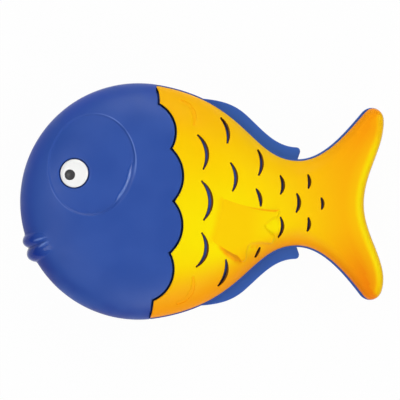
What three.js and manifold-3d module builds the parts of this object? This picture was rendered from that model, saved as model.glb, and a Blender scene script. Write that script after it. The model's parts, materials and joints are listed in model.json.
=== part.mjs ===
// Fish rattle: a moulded plastic toy, modelled lying on its right side.
// X runs from the nose to the tail, Y from the belly to the back and Z from the right side to the left.
// Both sides are built as one half above the middle plane, and the right side is its mirror image.

import * as THREE from 'three';
import { mergeVertices } from 'three/addons/utils/BufferGeometryUtils.js';
import Module from 'manifold-3d';

const wasm = await Module();
wasm.setup();

// Outline, in millimetres and degrees: a round body, a flank down to the waist and a forked tail
const overallLength = 150;
const bodyRadius = 48.2;
const shoulderAngle = 80;
const shoulderPull = 38;
const waistHalf = 17.1;
const waistFromTail = 35.5;
const waistFlankPull = 18;
const waistFlarePull = 12;
const tailHalfSpan = 39.4;
const tailTipRadius = 4.4;
const tailTipStart = 135;
const tailTipEnd = -10;
const tailTipPull = 10;
const forkDepth = 9;
const forkPull = 6;

// Thickness, measured from the middle plane
const crownHalf = 17;
const tailHalf = 6.5;
const taperFromNose = 75;
const taperLength = 70;
const rimHalf = 2;
const roundedShare = 0.6;

// Walls and clearances
const headWall = 2.4;
const shellWall = 2.2;
const coverWall = 2;
const coverSide = 1.8;
const coverClearance = 0.3;
const rimLedge = 0.5;
const seamGap = 0.6;
const partingGap = 0.3;

// Scalloped seam between head and cover: cusps measured from the middle of the round body
const seamCusps = [[14.8, 0], [13.6, 21.6], [7.7, 40.4]];
const seamEndBehindCentre = 6.2;
const scallopDepth = 4.6;
const seamEndDepth = 0.9;
const seamOverrun = 6;
const headHollowSetback = 4;

// Crescent slots in the cover, in bowed columns: place behind the body's middle, chord, width,
// and the rows as multiples of the pitch
const slotBowRadius = 129;
const slotBulgeShare = 0.25;
const slotEndWidth = 0.5;
const slotColumns = [
  { behind: 27.0, chord: 16.2, width: 1.9, pitch: 20.2, rows: [0] },
  { behind: 27.0, chord: 13.6, width: 1.7, pitch: 20.2, rows: [-1, 1] },
  { behind: 39.4, chord: 10.9, width: 1.6, pitch: 19.4, rows: [-1.5, -0.5, 0.5, 1.5] },
  { behind: 50.4, chord: 9.7, width: 1.5, pitch: 16.6, rows: [-1, 0, 1] },
  { behind: 59.3, chord: 7.1, width: 1.4, pitch: 17.5, rows: [-0.5, 0.5] },
  { behind: 65.9, chord: 6.7, width: 1.4, pitch: 17.5, rows: [0] },
  { behind: 70.8, chord: 4.7, width: 1.1, pitch: 17.7, rows: [-0.5, 0.5] },
  { behind: 76.2, chord: 4.3, width: 1.1, pitch: 17.7, rows: [0] },
];

// Raised pectoral fin on the cover: corners measured from the middle of the round body
const pectoral = {
  rootTop: [35.4, 1.4],
  topBend: [47, -3.2],
  upperTip: [59.5, -3.5],
  upperTipEnd: [58.5, -5.9],
  notch: [52.3, -9.5],
  middleTip: [56.3, -13.4],
  middleTipEnd: [56.3, -16.9],
  step: [46, -17.2],
  lowerTipEnd: [44.8, -24.1],
  lowerTip: [43.8, -25],
  rootBottom: [31.7, -16.5],
  rootBend: [34.4, -9.5],
};
const pectoralRootSink = 0.6;
const pectoralFall = 0.06;
const pectoralRise = 3;

// Flat dorsal and belly fins, which follow the flank
const finHalf = 1.8;
const finHeight = 5.8;
const finStart = 0.2;
const finFullHeight = 0.46;
const finEnd = 0.98;
const finTailCorner = 2;
const finRootDepth = 4;

// Oval dish round the eye
const dishFromNose = 29.4;
const dishAboveMiddle = 14.9;
const dishHalfWidth = 17.9;
const dishHalfHeight = 21.4;
const dishTilt = 7;
const dishDepth = 0.7;

// Eye, with a stem that snaps through the head, and its pupil
const eyeFromNose = 22;
const eyeAboveMiddle = 11.6;
const eyeTilt = 10;
const eyeRadius = 5.6;
const eyeClearance = 0.3;
const eyeEdge = 1.7;
const eyeDome = 1;
const eyeSeatBelowCrown = 3.4;
const eyeSeatWall = 1.8;
const eyeBossWall = 1.6;
const eyeStemRadius = 2.4;
const snapRadius = 0.5;
const snapLength = 1.4;
const pupilRadius = 2.05;
const pupilForward = 2;
const pupilBelow = 0.6;
const pupilDepth = 1.2;
const pupilProud = 0.15;
const pupilClearance = 0.15;

// Lips: two flattened swellings that wrap round the edge of the head
const lipLength = 9.5;
const lipHalfWidth = 2.5;
const lipHalfDepth = 14;
const upperLip = { fromNose: 10.8, belowMiddle: 13.2, turn: 13 };
const lowerLip = { fromNose: 12, belowMiddle: 17, turn: 27 };

// Pins and sockets that line up the two shells: place measured from the middle of the round body
const postPlaces = [[9, 36], [9, -36], [-35, -12], [47, 0]];
const postRadius = 3.4;
const pinRadius = 1.6;
const pinLength = 6;
const pinClearance = 0.3;
const socketSpare = 0.5;

// Pegs that hold the cover on the deck: place behind the body's middle, and above it
const pegPlaces = [[26, 10.8], [26, -10.8], [71.3, 0]];
const pegRadius = 1.3;
const pegClearance = 0.3;

// Loose balls in the head
const ballRadius = 4;
const ballClearance = 0.3;
const ballRow = 3;
const ballPitch = 9.5;
const ballsAheadOfCentre = 3;

// Steps of the curves: hidden surfaces take fewer
const headSteps = 10;
const flankSteps = 10;
const flareSteps = 6;
const tipSteps = 4;
const roundingSteps = 4;
const hiddenRoundingSteps = 2;
const hiddenStride = 2;
const seamSteps = 6;
const slotSteps = 4;
const dishSteps = 32;
const eyeSides = 20;
const pinSides = 10;
const lipSides = 12;
const ballSides = 12;

// Places that follow from the sizes
const noseX = -overallLength / 2;
const tailX = overallLength / 2;
const bodyX = noseX + bodyRadius;
const waistX = tailX - waistFromTail;
const tipY = tailHalfSpan - tailTipRadius;
const deckInset = rimLedge + coverSide + coverClearance;
const deckDrop = coverWall + coverClearance;
const far = overallLength;
const radians = THREE.MathUtils.degToRad;

const blue = { color: 0x3a58a8, roughness: 0.38, metalness: 0 };
const yellow = { color: 0xf7cf10, roughness: 0.38, metalness: 0 };
const white = { color: 0xf4f4f2, roughness: 0.25, metalness: 0 };
const black = { color: 0x3c3c3e, roughness: 0.3, metalness: 0 };
const grey = { color: 0xd8d8d4, roughness: 0.5, metalness: 0 };

// A geometry with shared vertices becomes a solid that can be joined and cut.
function toSolid(geometry) {
  geometry.deleteAttribute('normal');
  geometry.deleteAttribute('uv');
  const merged = mergeVertices(geometry);
  const corners = Array.from(merged.index.array);
  const triangles = [];
  for (let i = 0; i < corners.length; i += 3) {
    const [a, b, c] = corners.slice(i, i + 3);
    if (a !== b && b !== c && c !== a) triangles.push(a, b, c);
  }
  return new wasm.Manifold(new wasm.Mesh({
    numProp: 3,
    vertProperties: merged.attributes.position.array,
    triVerts: new Uint32Array(triangles),
  }));
}

function toGeometry(solid) {
  const mesh = solid.getMesh();
  const geometry = new THREE.BufferGeometry();
  geometry.setAttribute('position', new THREE.BufferAttribute(mesh.vertProperties, 3));
  geometry.setIndex(new THREE.BufferAttribute(mesh.triVerts, 1));
  geometry.computeVertexNormals();
  return geometry;
}

// The right side: turned over in the middle plane, with each triangle turned round to face out.
function mirrored(geometry) {
  const copy = geometry.clone().scale(1, 1, -1);
  const index = copy.index.array;
  for (let i = 0; i < index.length; i += 3) [index[i], index[i + 1]] = [index[i + 1], index[i]];
  copy.computeVertexNormals();
  return copy;
}

function prism(points, bottom, top) {
  const extruded = new THREE.ExtrudeGeometry(new THREE.Shape(points), {
    depth: top - bottom,
    bevelEnabled: false,
  });
  return toSolid(extruded.translate(0, 0, bottom));
}

function rod(x, y, radius, bottom, top, sides = pinSides) {
  const cylinder = new THREE.CylinderGeometry(radius, radius, top - bottom, sides);
  return toSolid(cylinder.rotateX(Math.PI / 2).translate(x, y, (bottom + top) / 2));
}

function slab(left, right, bottom, top) {
  const box = new THREE.BoxGeometry(right - left, 2 * far, top - bottom);
  return toSolid(box.translate((left + right) / 2, 0, (bottom + top) / 2));
}

// A turned piece about the Z axis, from a profile of [radius, height] pairs.
function turned(profile, sides) {
  const points = profile.map(([radius, height]) => new THREE.Vector2(radius, height));
  return toSolid(new THREE.LatheGeometry(points, sides).rotateX(Math.PI / 2));
}

// Points of a round arc that bulges to the right of the way from one end to the other.
function arcPoints(from, to, depth, steps) {
  const along = to.clone().sub(from);
  const half = along.length() / 2;
  const radius = (half * half + depth * depth) / (2 * depth);
  const sweep = 2 * Math.asin(half / radius);
  const out = new THREE.Vector2(along.y, -along.x).normalize();
  const centre = from.clone().add(to).multiplyScalar(0.5).addScaledVector(out, depth - radius);
  const start = from.clone().sub(centre);
  return Array.from({ length: steps + 1 }, (_, i) => {
    const turn = (sweep * i) / steps;
    return start.clone().rotateAround(new THREE.Vector2(), turn).add(centre);
  });
}

// Half of the outline, from the nose over the back to the fork, each point with its spine point.
function halfOutline() {
  const middle = new THREE.Vector2(bodyX, 0);
  const parting = new THREE.Vector2((waistX + tailX - forkDepth) / 2, 0);
  const tip = new THREE.Vector2(tailX - tailTipRadius, tipY);
  const samples = [];
  const follow = (curve, steps, spineFrom, spineTo) => {
    for (let i = samples.length ? 1 : 0; i <= steps; i++) {
      samples.push({
        edge: curve.getPoint(i / steps),
        spine: spineFrom.clone().lerp(spineTo, i / steps),
      });
    }
  };
  const head = new THREE.ArcCurve(bodyX, 0, bodyRadius, Math.PI, radians(shoulderAngle), true);
  const tailTip = new THREE.ArcCurve(
    tip.x, tip.y, tailTipRadius, radians(tailTipStart), radians(tailTipEnd), true,
  );
  follow(head, headSteps, middle, middle);
  follow(flankCurve(), flankSteps, middle, parting);
  follow(flareCurve(tailTip.getPoint(0)), flareSteps, parting, tip);
  follow(tailTip, tipSteps, tip, tip);
  follow(forkCurve(tailTip.getPoint(1)), flareSteps, tip, parting);
  return samples;
}

// The way that a clockwise round edge runs at an angle, scaled to a length.
function alongRound(angle, length) {
  return new THREE.Vector2(Math.sin(radians(angle)), -Math.cos(radians(angle))).multiplyScalar(length);
}

function flankCurve() {
  const shoulder = new THREE.Vector2(bodyRadius, 0).rotateAround(
    new THREE.Vector2(), radians(shoulderAngle),
  );
  shoulder.x += bodyX;
  const waist = new THREE.Vector2(waistX, waistHalf);
  return new THREE.CubicBezierCurve(
    shoulder,
    shoulder.clone().add(alongRound(shoulderAngle, shoulderPull)),
    new THREE.Vector2(waist.x - waistFlankPull, waist.y),
    waist,
  );
}

function flareCurve(tipStart) {
  const waist = new THREE.Vector2(waistX, waistHalf);
  return new THREE.CubicBezierCurve(
    waist,
    new THREE.Vector2(waist.x + waistFlarePull, waist.y),
    tipStart.clone().sub(alongRound(tailTipStart, tailTipPull)),
    tipStart,
  );
}

function forkCurve(tipEnd) {
  const fork = new THREE.Vector2(tailX - forkDepth, 0);
  return new THREE.CubicBezierCurve(
    tipEnd,
    tipEnd.clone().add(alongRound(tailTipEnd, tailTipPull)),
    new THREE.Vector2(fork.x, forkPull),
    fork,
  );
}

// The whole outline as a closed loop, with the way inwards at each point.
function closedOutline() {
  const upper = halfOutline();
  const flip = (point) => new THREE.Vector2(point.x, -point.y);
  const lower = upper.slice(1, -1).reverse().map(({ edge, spine }) => ({
    edge: flip(edge),
    spine: flip(spine),
  }));
  const loop = [...upper, ...lower];
  loop.forEach((sample, i) => {
    const before = loop[(i + loop.length - 1) % loop.length].edge;
    const after = loop[(i + 1) % loop.length].edge;
    const way = after.clone().sub(before).normalize();
    sample.inward = new THREE.Vector2(way.y, -way.x);
  });
  return [...loop, loop[0]];
}

const outline = closedOutline();

// Half thickness of the fish along its length.
function thickness(x) {
  const start = noseX + taperFromNose;
  const share = THREE.MathUtils.smoothstep(x, start, start + taperLength);
  return THREE.MathUtils.lerp(crownHalf, tailHalf, share);
}

// A ring of points: the outline moved in, then part of the way to the spine, at a height.
function ring(inset, share, height, stride = 1) {
  const samples = outline.filter((_, i) => i % stride === 0);
  return samples.map(({ edge, spine, inward }) => {
    const flat = edge.clone().addScaledVector(inward, inset).lerp(spine, share);
    return new THREE.Vector3(flat.x, flat.y, height(flat.x));
  });
}

// Rings of the domed top of a body that is moved in and lowered from the outer surface.
function domeRings(inset, drop, steps = roundingSteps, stride = 1) {
  const rings = [];
  for (let i = 0; i <= steps; i++) {
    const angle = (Math.PI / 2) * (i / steps);
    const share = roundedShare * (1 - Math.cos(angle));
    const height = (x) => rimHalf + (thickness(x) - drop - rimHalf) * Math.sin(angle);
    rings.push(ring(inset, share, height, stride));
  }
  rings.push(ring(inset, 1, (x) => thickness(x) - drop, stride));
  return rings;
}

// A closed solid through rings with equally many points, laid on a plane's grid.
function loft(rings) {
  const grid = new THREE.PlaneGeometry(1, 1, rings[0].length - 1, rings.length - 1);
  rings.flat().forEach((point, i) => grid.attributes.position.setXYZ(i, point.x, point.y, point.z));
  return toSolid(grid);
}

function dome(inset, drop, bottom) {
  return loft([ring(inset, 1, () => bottom), ring(inset, 0, () => bottom), ...domeRings(inset, drop)]);
}

// The inside of a wall, which runs on down through the middle plane.
function hollow(inset, drop) {
  const below = (share) => ring(inset, share, () => -far, hiddenStride);
  return loft([below(1), below(0), ...domeRings(inset, drop, hiddenRoundingSteps, hiddenStride)]);
}

// The scalloped seam from above the back to below the belly.
function seamLine() {
  const place = ([x, y]) => new THREE.Vector2(bodyX + x, y);
  const end = [seamEndBehindCentre, bodyRadius + seamOverrun];
  const upper = [...seamCusps, end].reverse();
  const lower = upper.slice(0, -1).reverse().map(([x, y]) => [x, -y]);
  const knots = [...upper, ...lower].map(place);
  const line = [knots[0]];
  for (let i = 1; i < knots.length; i++) {
    const depth = i === 1 || i === knots.length - 1 ? seamEndDepth : scallopDepth;
    line.push(...arcPoints(knots[i], knots[i - 1], depth, seamSteps).reverse().slice(1));
  }
  return line;
}

// A line that runs downwards, moved towards the tail by an even distance.
function movedBack(line, distance) {
  return line.map((point, i) => {
    const before = line[Math.max(i - 1, 0)];
    const after = line[Math.min(i + 1, line.length - 1)];
    const way = after.clone().sub(before).normalize();
    return point.clone().addScaledVector(new THREE.Vector2(-way.y, way.x), distance);
  });
}

function headRegion() {
  const line = seamLine();
  const corners = [new THREE.Vector2(-far, line.at(-1).y), new THREE.Vector2(-far, line[0].y)];
  return prism([...line, ...corners], -far, far);
}

function coverRegion() {
  const line = movedBack(seamLine(), seamGap);
  const corners = [new THREE.Vector2(far, line.at(-1).y), new THREE.Vector2(far, line[0].y)];
  return prism([...line, ...corners], -far, far);
}

// One crescent, bulging towards the tail, turned to follow its bowed column.
function crescent({ behind, chord, width, pitch }, row) {
  const bulge = chord * slotBulgeShare;
  const low = new THREE.Vector2(0, -chord / 2);
  const high = new THREE.Vector2(0, chord / 2);
  const end = new THREE.Vector2(-slotEndWidth, 0);
  const outer = arcPoints(low, high, bulge, slotSteps);
  const innerBulge = bulge - width + slotEndWidth;
  const inner = arcPoints(low.clone().add(end), high.clone().add(end), innerBulge, slotSteps);
  const turn = Math.asin((row * pitch) / slotBowRadius);
  const bow = slotBowRadius * (1 - Math.cos(turn));
  const place = new THREE.Vector2(bodyX + behind - bow, row * pitch);
  const points = [...outer, ...inner.reverse()];
  return prism(points.map((p) => p.rotateAround(new THREE.Vector2(), turn).add(place)), rimHalf, far);
}

function crescents() {
  const all = slotColumns.flatMap((column) => column.rows.map((row) => crescent(column, row)));
  return all.reduce((sum, solid) => sum.add(solid));
}

function pectoralOutline() {
  const place = ([x, y]) => [bodyX + x, y];
  const p = pectoral;
  const shape = new THREE.Shape().moveTo(...place(p.rootTop));
  shape.quadraticCurveTo(...place(p.topBend), ...place(p.upperTip));
  const corners = [
    p.upperTipEnd, p.notch, p.middleTip, p.middleTipEnd, p.step, p.lowerTipEnd, p.lowerTip, p.rootBottom,
  ];
  corners.forEach((corner) => shape.lineTo(...place(corner)));
  shape.quadraticCurveTo(...place(p.rootBend), ...place(p.rootTop));
  return shape.getPoints(slotSteps);
}

// The pectoral fin up to its sloping top plane, or the space above that plane.
function pectoralBlock(above) {
  const block = new THREE.ExtrudeGeometry(new THREE.Shape(pectoralOutline()), {
    depth: 1,
    bevelEnabled: false,
  });
  const position = block.attributes.position;
  const rootX = bodyX + pectoral.rootTop[0];
  for (let i = 0; i < position.count; i++) {
    const slope = crownHalf - pectoralRootSink - pectoralFall * (position.getX(i) - rootX);
    const isTop = position.getZ(i) > 0.5;
    const outer = above ? far : rimHalf;
    position.setZ(i, isTop === above ? outer : slope);
  }
  return toSolid(block);
}

function finOutline() {
  const flank = flankCurve();
  const outer = [];
  const root = [];
  for (let i = 0; i <= flankSteps; i++) {
    const share = THREE.MathUtils.lerp(finStart, finEnd, i / flankSteps);
    const grown = Math.min((share - finStart) / (finFullHeight - finStart), 1);
    const point = flank.getPoint(share);
    outer.push(new THREE.Vector2(point.x, point.y + finHeight * Math.sin((grown * Math.PI) / 2)));
    root.push(new THREE.Vector2(point.x, point.y - finRootDepth));
  }
  const last = outer.at(-1);
  const corner = new THREE.QuadraticBezierCurve(
    last,
    new THREE.Vector2(last.x + finTailCorner, last.y),
    new THREE.Vector2(last.x + finTailCorner, last.y - finTailCorner),
  );
  return [...outer, ...corner.getPoints(tipSteps).slice(1), ...root.reverse()];
}

function dishOutline() {
  const oval = new THREE.EllipseCurve(
    noseX + dishFromNose, dishAboveMiddle, dishHalfWidth, dishHalfHeight, 0, 2 * Math.PI, false,
    radians(-dishTilt),
  );
  return oval.getPoints(dishSteps).slice(1);
}

// Frame of the eye: its seat, leaning outwards with the surface of the head.
function eyeFrame() {
  const place = new THREE.Vector3(noseX + eyeFromNose, eyeAboveMiddle, crownHalf - eyeSeatBelowCrown);
  const lean = new THREE.Vector3(-place.y, place.x - bodyX, 0).normalize();
  return new THREE.Matrix4().makeRotationAxis(lean, radians(eyeTilt)).setPosition(place);
}

function inEyeFrame(solid) {
  return toSolid(toGeometry(solid).applyMatrix4(eyeFrame()));
}

function eyeFaceHeight(radius) {
  const edge = eyeClearance + eyeEdge;
  return edge + eyeDome * Math.sqrt(1 - (radius / eyeRadius) ** 2);
}

function makeEye() {
  const snapTop = -eyeSeatWall - eyeClearance;
  const profile = [
    [0, snapTop - snapLength],
    [eyeStemRadius - snapRadius, snapTop - snapLength],
    [eyeStemRadius + snapRadius, snapTop],
    [eyeStemRadius, snapTop],
    [eyeStemRadius, eyeClearance],
  ];
  for (let i = 0; i <= roundingSteps; i++) {
    const radius = eyeRadius * Math.cos((i / roundingSteps) * (Math.PI / 2));
    if (i === 0) profile.push([radius, eyeClearance]);
    profile.push([radius, eyeFaceHeight(radius)]);
  }
  const floor = eyeFaceHeight(Math.hypot(pupilForward, pupilBelow)) - pupilDepth;
  const recess = rod(-pupilForward, -pupilBelow, pupilRadius + pupilClearance, floor, far, eyeSides);
  return inEyeFrame(turned(profile, eyeSides).subtract(recess));
}

function makePupil() {
  const face = eyeFaceHeight(Math.hypot(pupilForward, pupilBelow));
  const bottom = face - pupilDepth + pupilClearance;
  const top = face + pupilProud;
  return inEyeFrame(rod(-pupilForward, -pupilBelow, pupilRadius, bottom, top, eyeSides));
}

function makeLip({ fromNose, belowMiddle, turn }) {
  const ball = new THREE.SphereGeometry(1, lipSides, lipSides);
  ball.scale(lipLength, lipHalfWidth, lipHalfDepth).rotateZ(radians(turn));
  return toSolid(ball.translate(noseX + fromNose, -belowMiddle, 0));
}

// Places of the pegs: two by the front slots, one at the waist and one in each half of the tail.
function pegSpots() {
  const lobe = outline[headSteps + flankSteps + flareSteps / 2].spine;
  const listed = pegPlaces.map(([behind, above]) => new THREE.Vector2(bodyX + behind, above));
  return [...listed, lobe, new THREE.Vector2(lobe.x, -lobe.y)];
}

function makePeg({ x, y }) {
  const snapTop = thickness(x) - deckDrop - shellWall - coverClearance;
  const shaft = rod(x, y, pegRadius, snapTop - snapLength, thickness(x) - coverWall / 2);
  const snap = turned([
    [0, snapTop - snapLength],
    [pegRadius, snapTop - snapLength],
    [pegRadius + snapRadius, snapTop],
    [0, snapTop],
  ], pinSides);
  return shaft.add(toSolid(toGeometry(snap).translate(x, y, 0)));
}

function makeCover() {
  const skin = dome(rimLedge, 0, rimHalf + coverClearance);
  const under = dome(rimLedge + coverSide, coverWall, 0);
  const fin = pectoralBlock(false).intersect(dome(0, -pectoralRise, 0));
  let cover = skin.subtract(crescents()).subtract(pectoralBlock(true)).add(fin).subtract(under);
  cover = cover.intersect(coverRegion());
  return pegSpots().reduce((sum, spot) => sum.add(makePeg(spot)), cover);
}

// The hollow of one shell, less the posts and the boss behind the eye that stand in it.
function shellHollow() {
  const seamFront = Math.min(...seamLine().map((point) => point.x));
  const underHead = hollow(headWall, headWall).intersect(
    slab(-far, seamFront - headHollowSetback, -far, far),
  );
  const underDeck = hollow(deckInset + shellWall, deckDrop + shellWall);
  const bossRadius = eyeRadius + eyeClearance + eyeBossWall;
  const boss = inEyeFrame(rod(0, 0, bossRadius, -eyeSeatWall, crownHalf, eyeSides));
  const posts = postPlaces.map(([x, y]) => rod(bodyX + x, y, postRadius, partingGap / 2, crownHalf));
  return posts.reduce((rest, post) => rest.subtract(post), underHead.add(underDeck).subtract(boss));
}

function makeShell(isLeft) {
  const face = partingGap / 2;
  const dish = prism(dishOutline(), 0, far).subtract(dome(dishDepth, dishDepth, -far));
  const head = dome(0, 0, face).subtract(dish).intersect(headRegion());
  const deck = loft([
    ring(0, 1, () => face),
    ring(0, 0, () => face),
    ring(0, 0, () => rimHalf),
    ...domeRings(deckInset, deckDrop, hiddenRoundingSteps),
  ]);
  const fin = finOutline();
  const bellyFin = fin.map(({ x, y }) => new THREE.Vector2(x, -y));
  const lips = makeLip(upperLip).add(makeLip(lowerLip)).intersect(slab(-far, far, face, far));
  let shell = head.add(deck).add(prism(fin, face, finHalf)).add(prism(bellyFin, face, finHalf)).add(lips);
  shell = shell.subtract(shellHollow());

  const socket = rod(0, 0, eyeRadius + eyeClearance, 0, far, eyeSides);
  const stemHole = rod(0, 0, eyeStemRadius + eyeClearance, -crownHalf / 2, far, eyeSides);
  shell = shell.subtract(inEyeFrame(socket.add(stemHole)));
  for (const { x, y } of pegSpots()) {
    const top = thickness(x);
    shell = shell.subtract(rod(x, y, pegRadius + pegClearance, top - deckDrop - 2 * shellWall, top));
  }
  for (const [x, y] of postPlaces) {
    const pin = rod(bodyX + x, y, pinRadius, -pinLength, pinLength);
    const hole = rod(bodyX + x, y, pinRadius + pinClearance, -far, pinLength + socketSpare);
    shell = isLeft ? shell.add(pin) : shell.subtract(hole);
  }
  return shell;
}

const fish = new THREE.Group();
fish.position.z = crownHalf;

function addPiece(name, geometry, look) {
  const mesh = new THREE.Mesh(geometry, new THREE.MeshStandardMaterial(look));
  mesh.name = name;
  fish.add(mesh);
  return mesh;
}

const cover = toGeometry(makeCover());
const eye = toGeometry(makeEye());
const pupil = toGeometry(makePupil());

addPiece('left_body_shell', toGeometry(makeShell(true)), blue);
addPiece('right_body_shell', mirrored(toGeometry(makeShell(false))), blue);
addPiece('left_scale_cover', cover, yellow);
addPiece('right_scale_cover', mirrored(cover), yellow);
addPiece('left_eye_white', eye, white);
addPiece('right_eye_white', mirrored(eye), white);
addPiece('left_pupil', pupil, black);
addPiece('right_pupil', mirrored(pupil), black);

// Six loose balls in two rows, lying on the inside of the right shell
for (let i = 0; i < 2 * ballRow; i++) {
  const sphere = new THREE.SphereGeometry(ballRadius, ballSides, ballSides / 2);
  const ball = addPiece(`rattle_ball_${i + 1}`, toGeometry(toSolid(sphere)), grey);
  ball.position.x = bodyX - ballsAheadOfCentre - ballPitch * Math.floor(i / ballRow);
  ball.position.y = ballPitch * ((i % ballRow) - (ballRow - 1) / 2);
  ball.position.z = ballRadius + ballClearance + headWall - crownHalf;
}

const toy = new THREE.Group();
toy.add(fish);

export default toy;
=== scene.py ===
# %% [markdown]
# # A fish rattle in moulded plastic
#
# The toy is two hollow blue half shells with a yellow slotted cover on each side, a snapped-in eye with
# its pupil, and loose balls inside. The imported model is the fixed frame: it gives every piece its place.
# This lesson builds finer pieces in that frame, one side at a time, and mirrors them for the other side.

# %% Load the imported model
import json
import math

import bmesh
import bpy
from mathutils import Matrix, Vector, geometry, kdtree

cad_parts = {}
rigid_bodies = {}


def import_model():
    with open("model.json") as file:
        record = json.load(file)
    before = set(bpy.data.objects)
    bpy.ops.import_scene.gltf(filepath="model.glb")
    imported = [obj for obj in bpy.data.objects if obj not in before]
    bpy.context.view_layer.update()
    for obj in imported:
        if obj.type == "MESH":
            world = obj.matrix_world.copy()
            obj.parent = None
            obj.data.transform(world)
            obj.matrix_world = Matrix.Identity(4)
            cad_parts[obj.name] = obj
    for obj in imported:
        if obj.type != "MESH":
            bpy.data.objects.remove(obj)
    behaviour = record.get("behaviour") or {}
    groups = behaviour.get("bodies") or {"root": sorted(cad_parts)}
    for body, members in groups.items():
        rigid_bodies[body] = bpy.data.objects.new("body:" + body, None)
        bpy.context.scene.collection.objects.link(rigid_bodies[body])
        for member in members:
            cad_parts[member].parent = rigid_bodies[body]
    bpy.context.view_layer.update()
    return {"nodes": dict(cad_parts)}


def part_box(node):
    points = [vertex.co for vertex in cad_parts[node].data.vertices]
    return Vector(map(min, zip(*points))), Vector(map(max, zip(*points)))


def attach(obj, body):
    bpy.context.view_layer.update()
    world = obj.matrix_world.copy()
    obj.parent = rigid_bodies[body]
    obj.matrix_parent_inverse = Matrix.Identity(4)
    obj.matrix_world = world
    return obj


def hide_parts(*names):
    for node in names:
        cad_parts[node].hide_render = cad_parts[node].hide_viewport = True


for thing in list(bpy.data.objects):
    bpy.data.objects.remove(thing)

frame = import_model()
print("nodes:", sorted(frame["nodes"]))

# %% [markdown]
# ## The outline
#
# Seen from the side, the fish is a round body, a flank that runs down to a narrow waist, and a forked
# tail. A real pattern maker draws this with a compass and a bent batten. Here the compass is an arc, and
# each bent stretch is one Bezier span between two points. All sizes are in millimetres, X runs from the
# nose to the tail, Y from the belly to the back, and Z is measured from the plane where the two shells
# part.

# %% Sizes of the outline
NOSE_X = -75.15
TAIL_X = 74.55
BODY_RADIUS = 48.8
SHOULDER_ANGLE = math.radians(80.7)
SHOULDER_PULL = 37.5
WAIST_HALF = 18.15
WAIST_FROM_TAIL = 35.25
WAIST_FLANK_PULL = 18.7
WAIST_FLARE_PULL = 10.4
TAIL_HALF_SPAN = 39.65
TAIL_TIP_RADIUS = 5.0
UPPER_TIP_START = math.radians(140)
UPPER_TIP_END = math.radians(2.5)
LOWER_TIP_START = math.radians(142)
LOWER_TIP_END = math.radians(18)
FLARE_TIP_PULL = 11.0
FORK_TIP_PULL = 12.2
FORK_DEPTH = 7.85
FORK_PULL = 13.5

BODY = Vector((NOSE_X + BODY_RADIUS, 0, 0))
# Details are measured from this mark, which lies near the middle of the round body.
MARK = Vector((-26.75, 0, 0))
WAIST = Vector((TAIL_X - WAIST_FROM_TAIL, WAIST_HALF, 0))
FORK = Vector((TAIL_X - FORK_DEPTH, 0, 0))
TAIL_TIP = Vector((TAIL_X - TAIL_TIP_RADIUS, TAIL_HALF_SPAN - TAIL_TIP_RADIUS, 0))
TAIL_ROOT = Vector(((WAIST.x + FORK.x) / 2, 0, 0))
print("fish:", round(TAIL_X - NOSE_X, 1), "mm long and", 2 * BODY_RADIUS, "mm high")


# %% Tools for curves
def clamped(share):
    return min(max(share, 0.0), 1.0)


def smooth_share(value, low, high):
    """Climbs smoothly from 0 at a low value to 1 at a high one."""
    share = clamped((value - low) / (high - low))
    return share * share * (3 - 2 * share)


def bent(start, leave, arrive, end, steps):
    """Points along one bent stretch: it leaves and arrives towards the two pull points."""
    return geometry.interpolate_bezier(start, leave, arrive, end, steps + 1)


def round_arc(centre, radius, start, end, steps):
    turns = [start + (end - start) * i / steps for i in range(steps + 1)]
    return [centre + radius * Vector((math.cos(a), math.sin(a), 0)) for a in turns]


def along_round(angle, length):
    """The way that a clockwise round edge runs at an angle, as a vector of that length."""
    return length * Vector((math.sin(angle), -math.cos(angle), 0))


def flank_points(steps):
    """Points down the back from the round body to the waist."""
    shoulder = round_arc(BODY, BODY_RADIUS, SHOULDER_ANGLE, SHOULDER_ANGLE, 1)[0]
    leave = shoulder + along_round(SHOULDER_ANGLE, SHOULDER_PULL)
    return bent(shoulder, leave, WAIST - Vector((WAIST_FLANK_PULL, 0, 0)), WAIST, steps)


# %% Draw the outline
# Each edge point is kept with the width of the rounding there, most of the way to the fish's spine, with
# the width of the blue ledge that shows beside the cover, which fades out round the tail's tips, and with
# 1 for the thin trailing edge between the tips and 0 elsewhere.
ROUNDED_SHARE = 0.6
FORK_ROUNDING = 3.4
LEDGE = 0.5
FLARE_LEDGE = 0.95
FORK_LEDGE = 0.1
HEAD_STEPS = 840
FLANK_STEPS = 900
TAIL_STEPS = 420
TIP_STEPS = 90


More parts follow.
